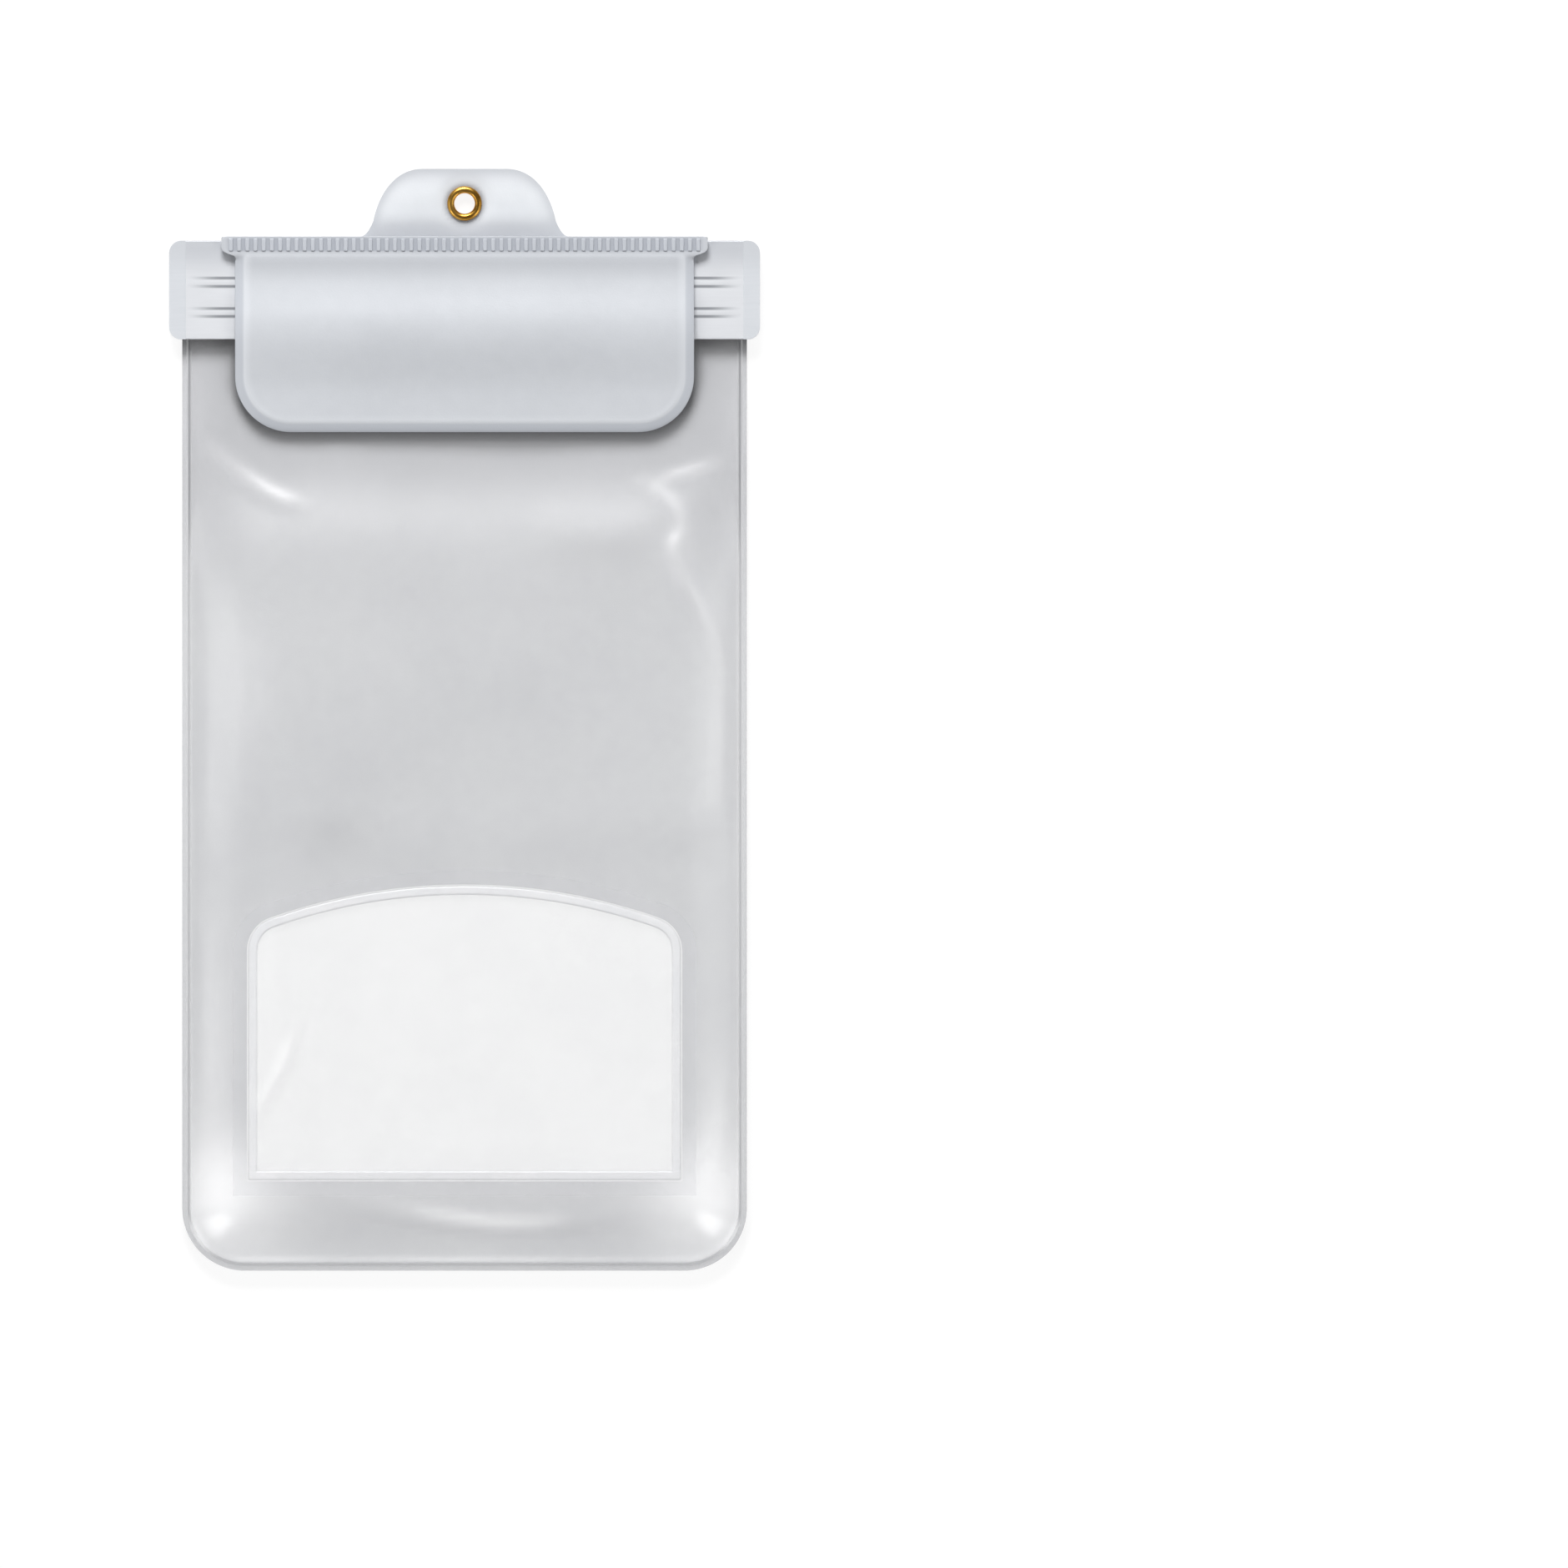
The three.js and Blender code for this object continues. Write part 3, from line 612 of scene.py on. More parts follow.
# %% Brass
def polished_brass(centre):
    paint = Paint("eyelet_brass")
    local = paint.node("ShaderNodeMapping", {"vector_type": "POINT"}, {
        "Vector": paint.place(), "Location": (-centre.x, -centre.y, 0.0),
    })
    rings = paint.node("ShaderNodeTexWave", {"wave_type": "RINGS", "rings_direction": "Z"}, {
        "Vector": local, "Scale": 1 / (0.9 * mm), "Distortion": 0.6, "Detail": 1.0,
    }, output="Fac")
    wear = paint.spread(paint.noise(4 * mm, 2.0), 0.35, 0.65)
    colour = paint.mix(wear, seen(186, 133, 50), seen(214, 165, 78))
    return paint.finish(paint.principled(
        Base_Color=colour, Metallic=1.0, Roughness=0.27 + 0.06 * wear,
        Normal=paint.relief(rings, 0.003 * mm, 0.15),
    ))


eyelet_centre = (eyelet_low + eyelet_high) / 2
brass = polished_brass(eyelet_centre)


# %% [markdown]
# ### Fastener tape
#
# The tapes under the flap hardly show. They are woven, with short stiff hooks on one and a brushed pile
# on the other, so a strong fine bump over a matt grey is enough. Voronoi cells are the hooks and loops.

# %% Fastener tape
def fastener_tape():
    paint = Paint("fastener_tape")
    dot_size = 0.7 * mm
    dots = paint.node("ShaderNodeTexVoronoi", {"feature": "F1"}, {
        "Vector": paint.place(), "Scale": 1 / dot_size,
    })
    weave = paint.noise(0.3 * mm, 2.0)
    share = paint.spread(dots, 0.1, 0.7)
    colour = paint.mix(share, seen(196, 200, 205), seen(166, 170, 176))
    relief = paint.relief(dots + 0.5 * weave, 0.2 * mm, 0.8)
    return paint.finish(paint.principled(
        Base_Color=colour, Roughness=0.85 + 0.1 * weave, Normal=relief,
    ))


tape_grey = fastener_tape()


# %% [markdown]
# ## The back sheet
#
# The back sheet lies flat under the closure and curls up to its welded edge all the way round. At the
# mouth it is hemmed, and both edges of the hem show as pressed lines; just inside the welded edge runs
# another. Pressing it by hand leaves shallow dents, which are what makes a real sheet look soft.

# %% Sizes of the welded body
corner_radius = 15 * mm
seam_width = 1.7 * mm
seam_lift = 2 * mm
curl_run = 10.3 * mm
back_thickness = 0.7 * mm
film_thickness = 0.5 * mm
band_thickness = 1.1 * mm
weld_gap = 0.3 * mm
bead_proud = bead_high.z - back_thickness
hair = 0.04 * mm
lift_start = band_low.y - 6 * mm
lift_run = 25 * mm
bead_lift_end = bead_high.y + 6 * mm
bead_lift_run = 20 * mm


def body_rim(x, y):
    """Distance in from the welded edge. The mouth has none."""
    return rim_distance(x, y, body_half, body_low.y, math.inf, corner_radius, 0.0)


# %% Height of the back sheet
def back_height(x, y):
    """The same curl as the solid's, under its lower face."""
    inside = np.maximum(body_rim(x, y) - seam_width, 0)
    curl = (1 - np.minimum(inside / curl_run, 1)) ** 2
    lift = seam_lift * step(lift_start, lift_start - lift_run, y)
    over_bead = (bead_proud - hair) * step(bead_lift_end + bead_lift_run, bead_lift_end, y)
    return lift * curl + over_bead


# %% Hollows of the back sheet
# Each line holds a hollow's middle, its half width and half length, its depth, and how much it is shaded.
back_hollows = [
    (0, 94, 44, 3.2, 0.0, 0.5),
    (40, 58, 22, 9, 0.0, 0.14),
    (-42, 66, 5, 13, 0.4, 0.1),
    (-30, 64, 5, 13, 0.4, 0.08),
    (-36, 24, 12, 28, 0.9, 0.19),
    (-32, -20, 8, 21, 1.0, 0.25),
    (61, -29, 10, 16, 1.1, 0.32),
    (57, 30, 9, 26, 0.8, 0.17),
]
back_crease = [(60, 56), (50, 50), (38, 46), (24, 45), (12, 48)]


def back_dents(x, y):
    """Shallow dents, seen from behind, and a crease below the mouth."""
    free = step(bead_high.y + 4 * mm, bead_high.y + 18 * mm, y) * step(3 * mm, 11 * mm, body_rim(x, y))
    depth = 1.0 * fold(x, y, back_crease, 5.5 * mm)
    for middle_x, middle_y, wide, long, deep, _ in back_hollows:
        depth += deep * bump(middle_x * mm, wide * mm, x) * bump(middle_y * mm, long * mm, y)
    waves = 0.15 * (np.sin(x / (9 * mm) + y / (21 * mm)) + np.sin(y / (13 * mm) - x / (17 * mm)) + 2)
    return free * (depth + waves) * mm


def back_shading(x, y):
    """How much painted shade each dent gets, because less light falls into it."""
    shading = 0.15 * fold(x, y - 3 * mm, back_crease, 5.5 * mm)
    for middle_x, middle_y, wide, long, _, dark in back_hollows:
        shading += dark * bump(middle_x * mm, wide * mm, x) * bump(middle_y * mm, long * mm, y)
    return shading


# %% Pressed lines of the back sheet
hem_drops = (0.9 * mm, 10.4 * mm)
pressed_depth = 0.28 * mm
pressed_width = 0.35 * mm


def pressed_lines(x, y):
    seam = bump(seam_width, pressed_width, body_rim(x, y)) * step(body_high.y, body_high.y - 3 * mm, y)
    inset = step(seam_width - 0.4 * mm, seam_width + 0.4 * mm, body_half - np.abs(x))
    hems = sum(bump(body_high.y - drop, pressed_width, y) for drop in hem_drops)
    return pressed_depth * (seam + hems * inset)


# %% Make the back sheet
edge_marks = [seam_width - 0.7 * mm, seam_width + 0.7 * mm]
net_step = 1.5 * mm
columns = stations(
    -body_half, body_half, net_step,
    [s * (body_half - m) for m in edge_marks for s in (-1, 1)],
    [s * (body_half - seam_width) for s in (-1, 1)],
)
hem_marks = [body_high.y - drop + side * 0.9 * mm for drop in hem_drops for side in (-1, 1)]
rows = stations(
    body_low.y, mouth_y, net_step,
    [body_low.y + m for m in edge_marks] + hem_marks,
    [body_low.y + seam_width, *[body_high.y - drop for drop in hem_drops]],
)
back_sheet, x, y = rounded_net("back_sheet", columns, rows, low_radius=corner_radius)
write_points(back_sheet, x, y, back_height(x, y) + back_dents(x, y) + pressed_lines(x, y))
modify(back_sheet, "SOLIDIFY", thickness=back_thickness, offset=1, use_even_offset=True)
print("back sheet:", len(columns), "by", len(rows), "points")


# %% [markdown]
# ### The camera window's outline
#
# The window is flat at its lower edge and arched at its top, with a small round corner where the arch
# meets each side. One function gives that outline grown or shrunk by any amount, because each arc only
# changes its radius. The cut-out, the bead and the pane all use it.

# %% Outline of the window
window_half = bead_high.x
window_corner = 8 * mm
arch_radius = 140 * mm


def arc(centre_x, centre_y, radius, start, end, count):
    angles = [start + (end - start) * k / count for k in range(count + 1)]
    return [(centre_x + radius * math.cos(a), centre_y + radius * math.sin(a)) for a in angles]


def window_outline(grow):
    corner_x = window_half - window_corner
    arch_y = bead_high.y - arch_radius
    corner_y = arch_y + math.sqrt((arch_radius - window_corner) ** 2 - corner_x**2)
    meet = math.atan2(corner_y - arch_y, corner_x)
    wide = window_half + grow
    low = bead_low.y - grow
    corner = window_corner + grow
    right = arc(corner_x, corner_y, corner, 0, meet, 10)
    top = arc(0, arch_y, arch_radius + grow, meet, math.pi - meet, 40)
    left = arc(-corner_x, corner_y, corner, math.pi - meet, math.pi, 10)
    return [(-wide, low), (wide, low), *right, *top[1:-1], *left]


def outline_area(outline):
    pairs = zip(outline, outline[1:] + outline[:1])
    return abs(sum(ax * by - bx * ay for (ax, ay), (bx, by) in pairs)) / 2


# %% A plate from an outline
def plate(name, outline, z_low, z_high):
    """A flat face on the outline's points, extruded upwards."""
    piece = new_piece(name, [(px, py, z_low) for px, py in outline], faces=[range(len(outline))])
    edit(piece)
    bpy.ops.mesh.select_all(action="SELECT")
    bpy.ops.mesh.extrude_region_move(TRANSFORM_OT_translate={"value": (0, 0, z_high - z_low)})
    face_outwards()
    return piece


def cut(piece, cutter):
    modify(piece, "BOOLEAN", operation="DIFFERENCE", solver="EXACT", object=cutter)
    bpy.data.objects.remove(cutter)


# %% Cut the window out of the back sheet
cut_gap = 0.3 * mm
cut(back_sheet, plate("window_cutter", window_outline(cut_gap), -1 * mm, 3 * mm))
smooth(back_sheet, 50)
dress(back_sheet, sheet_grey)
# The inner side gets a darker, shaded copy of the sheet's finish: painted shade inside the pocket.
back_sheet.data.materials.append(sheet_inside)
for face in back_sheet.data.polygons:
    face.material_index = 1 if face.normal.z > 0.5 else 0

# %% [markdown]
# Broad soft lamps hardly show a shallow hollow or a pressed edge, though the eye expects them. So the
# sheet's points also carry painted shade, by how deep in a hollow they lie and how near to the window's
# edge, and, for its inner side, a painted light that brightens the pocket's low corners, its sides low
# down and its lowest crease.

# %% Mark the back sheet's painted shade and light
x, y, _ = read_points(back_sheet).T
hole_line = np.array(window_outline(cut_gap) + window_outline(cut_gap)[:1])
# Painted shade along the edge of the window's cut-out.
mark(back_sheet, "painted_window_edge_shade", 0.7 * np.exp(-((along_line(x, y, hole_line)[0] / (1.1 * mm)) ** 2)))
# Painted shade in the hollows and just above the crease.
mark(back_sheet, "painted_hollow_shade", back_shading(x, y))
# Painted light on the inner side: the pocket's low corners, its sides low down and its lowest crease.
lit_corner = np.exp(-((np.hypot(np.abs(x) - 57 * mm, y + 114 * mm) / (13 * mm)) ** 2))
lit_side = 0.25 * bump(62 * mm, 6 * mm, np.abs(x)) * bump(-96 * mm, 22 * mm, y)
lit_crease = 0.7 * fold(x, y, [(-14, -117), (-2, -119.2), (10, -120.4), (24, -120)], 1.7 * mm)
lit = np.clip(0.9 * lit_corner + lit_side + lit_crease, 0, 1) * (body_rim(x, y) > seam_width)
mark(back_sheet, "lit", lit)
hand_over(back_sheet, "grey_sheet", "back_panel")
corner_loss = 2 * (1 - math.pi / 4) * corner_radius**2
hole_area = outline_area(window_outline(cut_gap))
2 * body_half * (body_high.y - body_low.y) - corner_loss - hole_area


# %% [markdown]
# ### The window's bead
#
# The bead is a strip 2.2 mm wide that stands a little proud of the sheet. It starts as a flat face on the
# outline, an inset of that face gives the strip's inner edge, and once the middle is deleted the strip is
# extruded up and its long edges are rounded with a bevel.

# %% Make the bead
bead_width = 2.2 * mm


def window_bead():
    line = window_outline(0)
    piece = new_piece("window_bead", [(px, py, bead_low.z) for px, py in line], faces=[range(len(line))])
    bead_height = bead_high.z - hair - bead_low.z
    edit(piece)
    bpy.ops.mesh.select_all(action="SELECT")
    bpy.ops.mesh.inset(thickness=bead_width, use_even_offset=True)
    bpy.ops.mesh.delete(type="FACE")
    bpy.ops.mesh.select_all(action="SELECT")
    bpy.ops.mesh.extrude_region_move(TRANSFORM_OT_translate={"value": (0, 0, bead_height)})
    face_outwards()
    modify(piece, "BEVEL", width=0.5 * mm, segments=4, limit_method="ANGLE", angle_limit=math.radians(60))
    return piece


bead = window_bead()
crisp(bead)
dress(bead, bead_white)
hand_over(bead, "white_trim", "window_frame")


# %% [markdown]
# ## The clear front
#
# The clear sheet is welded to the back along three edges and swells between them. Its height comes from
# three smooth steps: one in from the weld, one down from the mouth, and a small one up to the closure's
# band. On top of that lie the folds. They are what tells the eye that this is film and not glass, so they
# are given one by one, each as a short line of points in millimetres with a width and a height.

# %% Swelling of the clear front
pillow_run = 26 * mm
shoulder_top = loop_low.y - 1.6 * mm
shoulder_run = 40 * mm
throat_level = loop_low.z - film_thickness
margin_level = band_high.z - band_thickness - film_thickness
pocket_height = 9.5 * mm
pillow_level = back_thickness + bead_proud + pocket_height


def film_height(x, y):
    """The same swelling as the solid's, under its lower face."""
    weld_y = np.maximum(y, body_low.y + corner_radius)
    at_weld = back_height(np.full_like(x, body_half), weld_y) + back_thickness + weld_gap
    rise = 1 - (1 - np.clip((body_rim(x, y) - seam_width) / pillow_run, 0, 1)) ** 3
    pillow = (pillow_level - throat_level) * step(shoulder_top, shoulder_top - shoulder_run, y)
    margin = (margin_level - throat_level) * step(band_low.y - 5 * mm, band_low.y, y)
    return at_weld + (throat_level + pillow + margin - at_weld) * rise


# %% Folds of the clear front
# Each line holds a fold's points, its half width, its height and how cloudy it is. The cloudiness is
# partly the film's own haze and partly a painted highlight.
film_folds = [
    ([(-64, 67.5), (-58, 62.5), (-52, 57.5), (-46, 53.5), (-39, 51)], 2.0, 0.36, 0.9),
    ([(63, 62), (58, 60), (53, 58.5), (47, 57)], 2.1, 0.38, 0.9),
    ([(43, 56), (50, 52), (53, 46), (51, 39.5), (53, 33), (57, 26), (60.5, 17), (62, 6)], 2.6, 0.6, 1.0),
    ([(60.5, 12), (61.5, 0), (60.5, -12), (61, -24)], 3.4, 0.4, 0.8),
    ([(-36, -68), (-41, -79), (-45.5, -88), (-50, -97)], 1.9, 0.75, 1.0),
    ([(-37, -112.5), (-24, -116.5), (-10, -119.5), (6, -121), (24, -121), (40, -119)], 2.2, 0.45, 1.0),
    ([(-54, -121), (-49, -116), (-44, -110.5), (-39, -105)], 1.2, 0.14, 0.4),
    ([(-40, -16), (-42, -34), (-43, -54), (-41, -74), (-38, -92), (-34, -108)], 5.0, 1.1, 0.3),
    ([(-61, 34), (-60, 12), (-61, -14), (-60, -40)], 3.4, 0.4, 0.2),
    ([(-62, -46), (-62.5, -62), (-62, -80), (-61, -96)], 4.2, 0.3, 0.8),
    ([(63, -84), (61.5, -98), (59, -108), (53, -118)], 4.2, 0.45, 0.6),
    ([(17, 34), (23, 26), (26, 16), (25, 4), (20, -10)], 5.0, 0.5, 0.1),
    ([(-30, 30), (-23, 22), (-19, 10), (-20, -4), (-26, -18)], 6.0, 0.5, 0.1),
    ([(-14, -100), (0, -104), (16, -102), (30, -98)], 4.5, 0.4, 0.0),
    ([(36, -30), (41, -48), (42, -68), (39, -84)], 4.0, 0.9, 0.1),
    ([(-53, 26), (-52, 8), (-52.5, -14)], 5.0, 0.3, 0.9),
]


def fold_sum(x, y, column):
    total = np.zeros(len(x))
    for points, width, *amounts in film_folds:
        total += amounts[column] * fold(x, y, points, width * mm)
    return total


# %% Make the clear front
film_step = 1.2 * mm
columns = stations(
    -body_half, body_half, film_step,
    [s * (body_half - m) for m in edge_marks for s in (-1, 1)],
    [s * (body_half - seam_width) for s in (-1, 1)],
)
rows = stations(
    film_low.y, min(film_high.y, mouth_y), film_step,
    [film_low.y + m for m in edge_marks], [film_low.y + seam_width],
)
clear_front, x, y = rounded_net("clear_front", columns, rows, low_radius=corner_radius)
rim = body_rim(x, y)
inside_weld = step(seam_width, seam_width + 5 * mm, rim) * step(shoulder_top, shoulder_top - 4 * mm, y)
swell = film_height(x, y) + inside_weld * fold_sum(x, y, 0) * mm
swell += 0.3 * mm * bump(seam_width, 0.4 * mm, rim) * step(film_high.y, film_high.y - 3 * mm, y)
write_points(clear_front, x, y, swell)
print("clear front:", len(columns), "by", len(rows), "points")

# %% [markdown]
# Film turns cloudy where it is welded and along its folds, because there it is stretched or lies in small
# wrinkles; along the folds the cloudiness is also partly a painted highlight. Where the film rises
# steeply from the weld, along its low end and in its low corners, the cloudiness is a painted glow that
# stands in for reflections. All these are added up at the film's points.

# %% Cloudiness and painted glow of the clear front
welded = step(seam_width + 0.3 * mm, seam_width - 0.5 * mm, rim)
# Painted glow: whiter near the weld, along the low end and in the low corners.
painted_steep_glow = 0.5 * np.exp(-np.maximum(rim - seam_width, 0) / (7 * mm)) * (1 - welded)
painted_low_glow = bump(-115 * mm, 8 * mm, y) * inside_weld
low_corner = np.exp(-((np.hypot(np.abs(x) - 58.5 * mm, y + 116.5 * mm) / (9 * mm)) ** 2)) * inside_weld
haze_and_glow = painted_steep_glow + painted_low_glow + low_corner + inside_weld * fold_sum(x, y, 1)
mark(clear_front, "cloud_and_painted_glow", np.clip(haze_and_glow, 0, 1) + 0.8 * welded)
above_end = step(body_low.y + 4 * mm, body_low.y + 15 * mm, y)
mark(clear_front, "seam", bump(seam_width, 0.35 * mm, rim) * (0.45 + 0.55 * above_end))
modify(clear_front, "SOLIDIFY", thickness=film_thickness, offset=1, use_even_offset=True)
smooth(clear_front, 60)
dress(clear_front, film_clear)
clear_front.visible_shadow = False
hand_over(clear_front, "clear_film", "front_film")


# %% [markdown]
# ## The closure's band
#
# The band is one strip as long as the mouth is wide, with two pairs of pressed lines over its tracks, and
# a moulded cap at each end that wraps down past the side of the pouch. The strip starts as a cube at its
# size. Bisecting it lays edges where the lines will be, and moving only the middle edges of each line
# down makes a groove that fades out by itself where the moved edges end.

# %% The band's strip
cap_width = 4 * mm
strip_half = band_high.x - cap_width + 0.25 * mm
strip_low = band_high.z - band_thickness
groove_half = 0.3 * mm
groove_depth = 0.18 * mm
groove_full = 60.5 * mm
groove_end = 66 * mm


def block(name, low, high):
    """A cube at a size and place, as the start of a piece."""
    deselect_all()
    low, high = Vector(low), Vector(high)
    bpy.ops.mesh.primitive_cube_add(size=1, location=(low + high) / 2, scale=high - low)
    piece = bpy.context.object
    piece.name = piece.data.name = name
    place_in_mesh(piece)
    return piece


def bisect(piece, place, normal):
    edit(piece)
    bpy.ops.mesh.select_all(action="SELECT")
    bpy.ops.mesh.bisect(plane_co=place, plane_no=normal)
    done()


def round_edges(piece, width, segments, test):
    """Bevels the edges whose middle passes the test."""
    edit(piece, "EDGE")
    found = pick(piece, test, "edges")
    bpy.ops.mesh.bevel(offset=width, offset_type="OFFSET", segments=segments, affect="EDGES")
    done()
    return found


band_strip = block(
    "band_strip", (-strip_half, band_low.y, strip_low), (strip_half, band_high.y, band_high.z),
)
round_edges(band_strip, 0.3 * mm, 3, lambda middle, _: abs(middle.x) < 1 * mm)
for line in groove_lines:
    for offset in (-groove_half, 0, groove_half):
        bisect(band_strip, (0, line + offset, 0), (0, 1, 0))
for place in (-groove_end, -groove_full, groove_full, groove_end):
    bisect(band_strip, (place, 0, 0), (1, 0, 0))
edit(band_strip, "EDGE")
near_line = lambda middle: min(abs(middle.y - line) for line in groove_lines) < 0.02 * mm
grooved = pick(
    band_strip,
    lambda middle, _: middle.z > band_high.z - 0.05 * mm and near_line(middle) and abs(middle.x) < 0.01 * mm,
    "edges",
)
bpy.ops.transform.translate(value=(0, 0, -groove_depth))
done()
print("lines pressed into the band:", grooved)

# %% [markdown]
# The cap is modelled once, on the right, and a copy of it is mirrored to the left. It starts as a cube
# over the band's end. The part of its underside that lies past the pouch's side is extruded down to make
# the wrap. The two corners that show are rounded with a wide bevel before every edge gets a fine one, and
# faces that the fine bevel leaves without a size are dissolved.

# %% The band's caps
wrap_inner = body_half + 0.3 * mm
cap_inner = band_high.x - cap_width
cap_top = band_high.z + 0.06 * mm
cap_corner = 3 * mm


def band_cap(name):
    cap = block(name, (cap_inner, band_low.y, strip_low), (band_high.x, band_high.y, cap_top))
    bisect(cap, (wrap_inner, 0, 0), (1, 0, 0))
    edit(cap)
    pick(cap, lambda middle, normal: normal.z < -0.9 and middle.x > wrap_inner)
    bpy.ops.mesh.extrude_region_move(TRANSFORM_OT_translate={"value": (0, 0, band_low.z - strip_low)})
    done()
    edit(cap, "EDGE")
    pick(cap, lambda middle, _: (
        middle.x > band_high.x - 1e-6 and min(middle.y - band_low.y, band_high.y - middle.y) < 1e-6
    ), "edges")
    bpy.ops.mesh.bevel(offset=cap_corner, offset_type="OFFSET", segments=8, affect="EDGES")
    done()
    modify(cap, "BEVEL", width=0.4 * mm, segments=3, limit_method="ANGLE", angle_limit=math.radians(50))
    edit(cap)
    bpy.ops.mesh.select_all(action="SELECT")
    bpy.ops.mesh.dissolve_degenerate(threshold=2e-6)
    done()
    return cap


right_cap = band_cap("band_cap_right")
make_active(right_cap)
bpy.ops.object.duplicate()
left_cap = bpy.context.object
left_cap.name = left_cap.data.name = "band_cap_left"
left_cap.scale.x = -1
place_in_mesh(left_cap)
edit(left_cap)
face_outwards()
for piece, finish in ((band_strip, strip_pale), (right_cap, cap_pale), (left_cap, cap_pale)):
    crisp(piece)
    dress(piece, finish)
    # Faces that look down get the darker copy, as painted shade.
    piece.data.materials.append(cap_painted_shade)
    for face in piece.data.polygons:
        face.material_index = 1 if face.normal.z < -0.3 else 0
    hand_over(piece, "closure_strip", "front_closure_strip")


# %% [markdown]
# ## The flap
#
# The flap is a soft laminated sheet. It hangs from a ribbed spine along its top edge, bulges over the
# band, and falls to the tapes below. Its welded rim is thinner than the rest and shows as a narrow border.
# It is laid as a net in the same way as the big sheets, and given its thickness at the end.

# %% Height of the flap
flap_half = 54.6 * mm
flap_radius = 13 * mm
flap_rim = 2.0 * mm
sheet_thickness = 1.1 * mm
fold_low = band_low.y - 13 * mm
fold_high = band_low.y + 3 * mm
bulge_y = 94.5 * mm
dip_y = 104.5 * mm
dip_run = 6.5 * mm
over_band = band_high.z + 0.3 * mm
over_tape = hook_high.z
spine_half = flap_high.x
spine_low_y = 111.6 * mm
rim_end = spine_low_y + 0.2 * mm
cove_radius = 0.9 * mm
lobe_wide = spine_half - flap_half - cove_radius
lobe_low, lobe_high = 1.5 * mm, 1.1 * mm
rib_low_y, rib_high_y = 112.4 * mm, 115.4 * mm
rib_reach = 56.6 * mm


def flap_rim_distance(x, y):
    return rim_distance(x, y, flap_half, flap_low.y, math.inf, flap_radius, 0.0)


def below_spine(y):
    return step(rim_end, rim_end - 1.4 * mm, y)


def flap_height(x, y):
    drape = over_tape + (over_band - over_tape) * step(fold_low, fold_high, y)
    bulge_width = np.where(y > bulge_y, 7.5 * mm, 14 * mm)
    bulge = 1.8 * mm * bump(bulge_y, bulge_width, y) * (1 - 0.3 * (np.abs(x) / flap_half) ** 4)
    dip = 0.5 * mm * np.clip((y - dip_y) / dip_run, 0, 1) ** 2
    gap = flap_rim_distance(x, y)
    panel = 0.2 * mm * step(flap_rim - 0.3 * mm, flap_rim + 0.3 * mm, gap)
    roll = 0.6 * mm * np.clip(1 - gap / flap_rim, 0, 1) ** 1.5
    groove = 0.05 * mm * bump(flap_rim, 0.3 * mm, gap)
    return drape + bulge + dip + (panel - groove - roll) * below_spine(y)


# %% Outline of the flap's top
# Near its top the sheet widens to the spine: a small cove, and then a lobe with rounded corners.
def flap_half_width(y):
    cove_share = np.clip((y - spine_low_y) / cove_radius + 1, 0, 1)
    cove = flap_half + cove_radius * (1 - np.sqrt(1 - cove_share**2))
    low_share = np.clip((spine_low_y + lobe_low - y) / lobe_low, 0, 1)
    high_share = np.clip((y - flap_high.y + lobe_high) / lobe_high, 0, 1)
    low_corner = spine_half - lobe_wide * (1 - np.sqrt(1 - low_share**2))
    high_corner = spine_half - lobe_high * (1 - np.sqrt(1 - high_share**2))
    return np.where(y < spine_low_y, cove, np.minimum(low_corner, high_corner))


# %% Make the flap
flap_step = 1.2 * mm
rim_marks = [flap_rim - 0.6 * mm, flap_rim + 0.6 * mm]
columns = stations(
    -flap_half, flap_half, flap_step,
    [s * (flap_half - m) for m in [0.4 * mm, *rim_marks] for s in (-1, 1)],
    [s * (flap_half - flap_rim) for s in (-1, 1)],
)
quarter = np.radians([0, 30, 60, 90])
rows = np.unique(np.round(np.concatenate([
    stations(flap_low.y, spine_low_y - cove_radius, flap_step,
             [flap_low.y + m for m in [0.5 * mm, *rim_marks]], [flap_low.y + flap_rim]),
    spine_low_y - cove_radius * (1 - np.sin(quarter)),
    spine_low_y + lobe_low * (1 - np.cos(np.radians([25, 50, 70, 90]))),
    flap_high.y - lobe_high * (1 - np.sin(quarter)),
]), 7))
flap_sheet, x, y = rounded_net("flap_sheet", columns, rows, low_radius=flap_radius)
gap = flap_rim_distance(x, y)
swell = flap_height(x, y)
flare = (flap_half_width(y) - flap_half) * (np.abs(x) / flap_half) ** 16
x = x + np.sign(x) * np.where(y > 108 * mm, flare, 0)
write_points(flap_sheet, x, y, swell)
# Painted shade on the rim and in the gaps between the ribs, and a painted highlight along the panel's edge.
mark(flap_sheet, "rim", below_spine(y) * step(flap_rim + 0.2 * mm, flap_rim - 0.2 * mm, gap))
mark(flap_sheet, "painted_panel_highlight", below_spine(y) * 0.7 * bump(flap_rim + 0.3 * mm, 0.45 * mm, gap))
mark(flap_sheet, "painted_rib_gap_shade", step(rib_low_y - 0.3 * mm, rib_low_y + 0.1 * mm, y) * step(
    rib_high_y + 0.3 * mm, rib_high_y, y) * step(rib_reach + 0.3 * mm, rib_reach - 0.9 * mm, np.abs(x)))
modify(flap_sheet, "SOLIDIFY", thickness=sheet_thickness, offset=1, use_even_offset=True)
modify(flap_sheet, "BEVEL", width=0.25 * mm, segments=3, limit_method="ANGLE", angle_limit=math.radians(60))
smooth(flap_sheet, 50)
dress(flap_sheet, flap_grey)
hand_over(flap_sheet, "grey_flap", "flap")


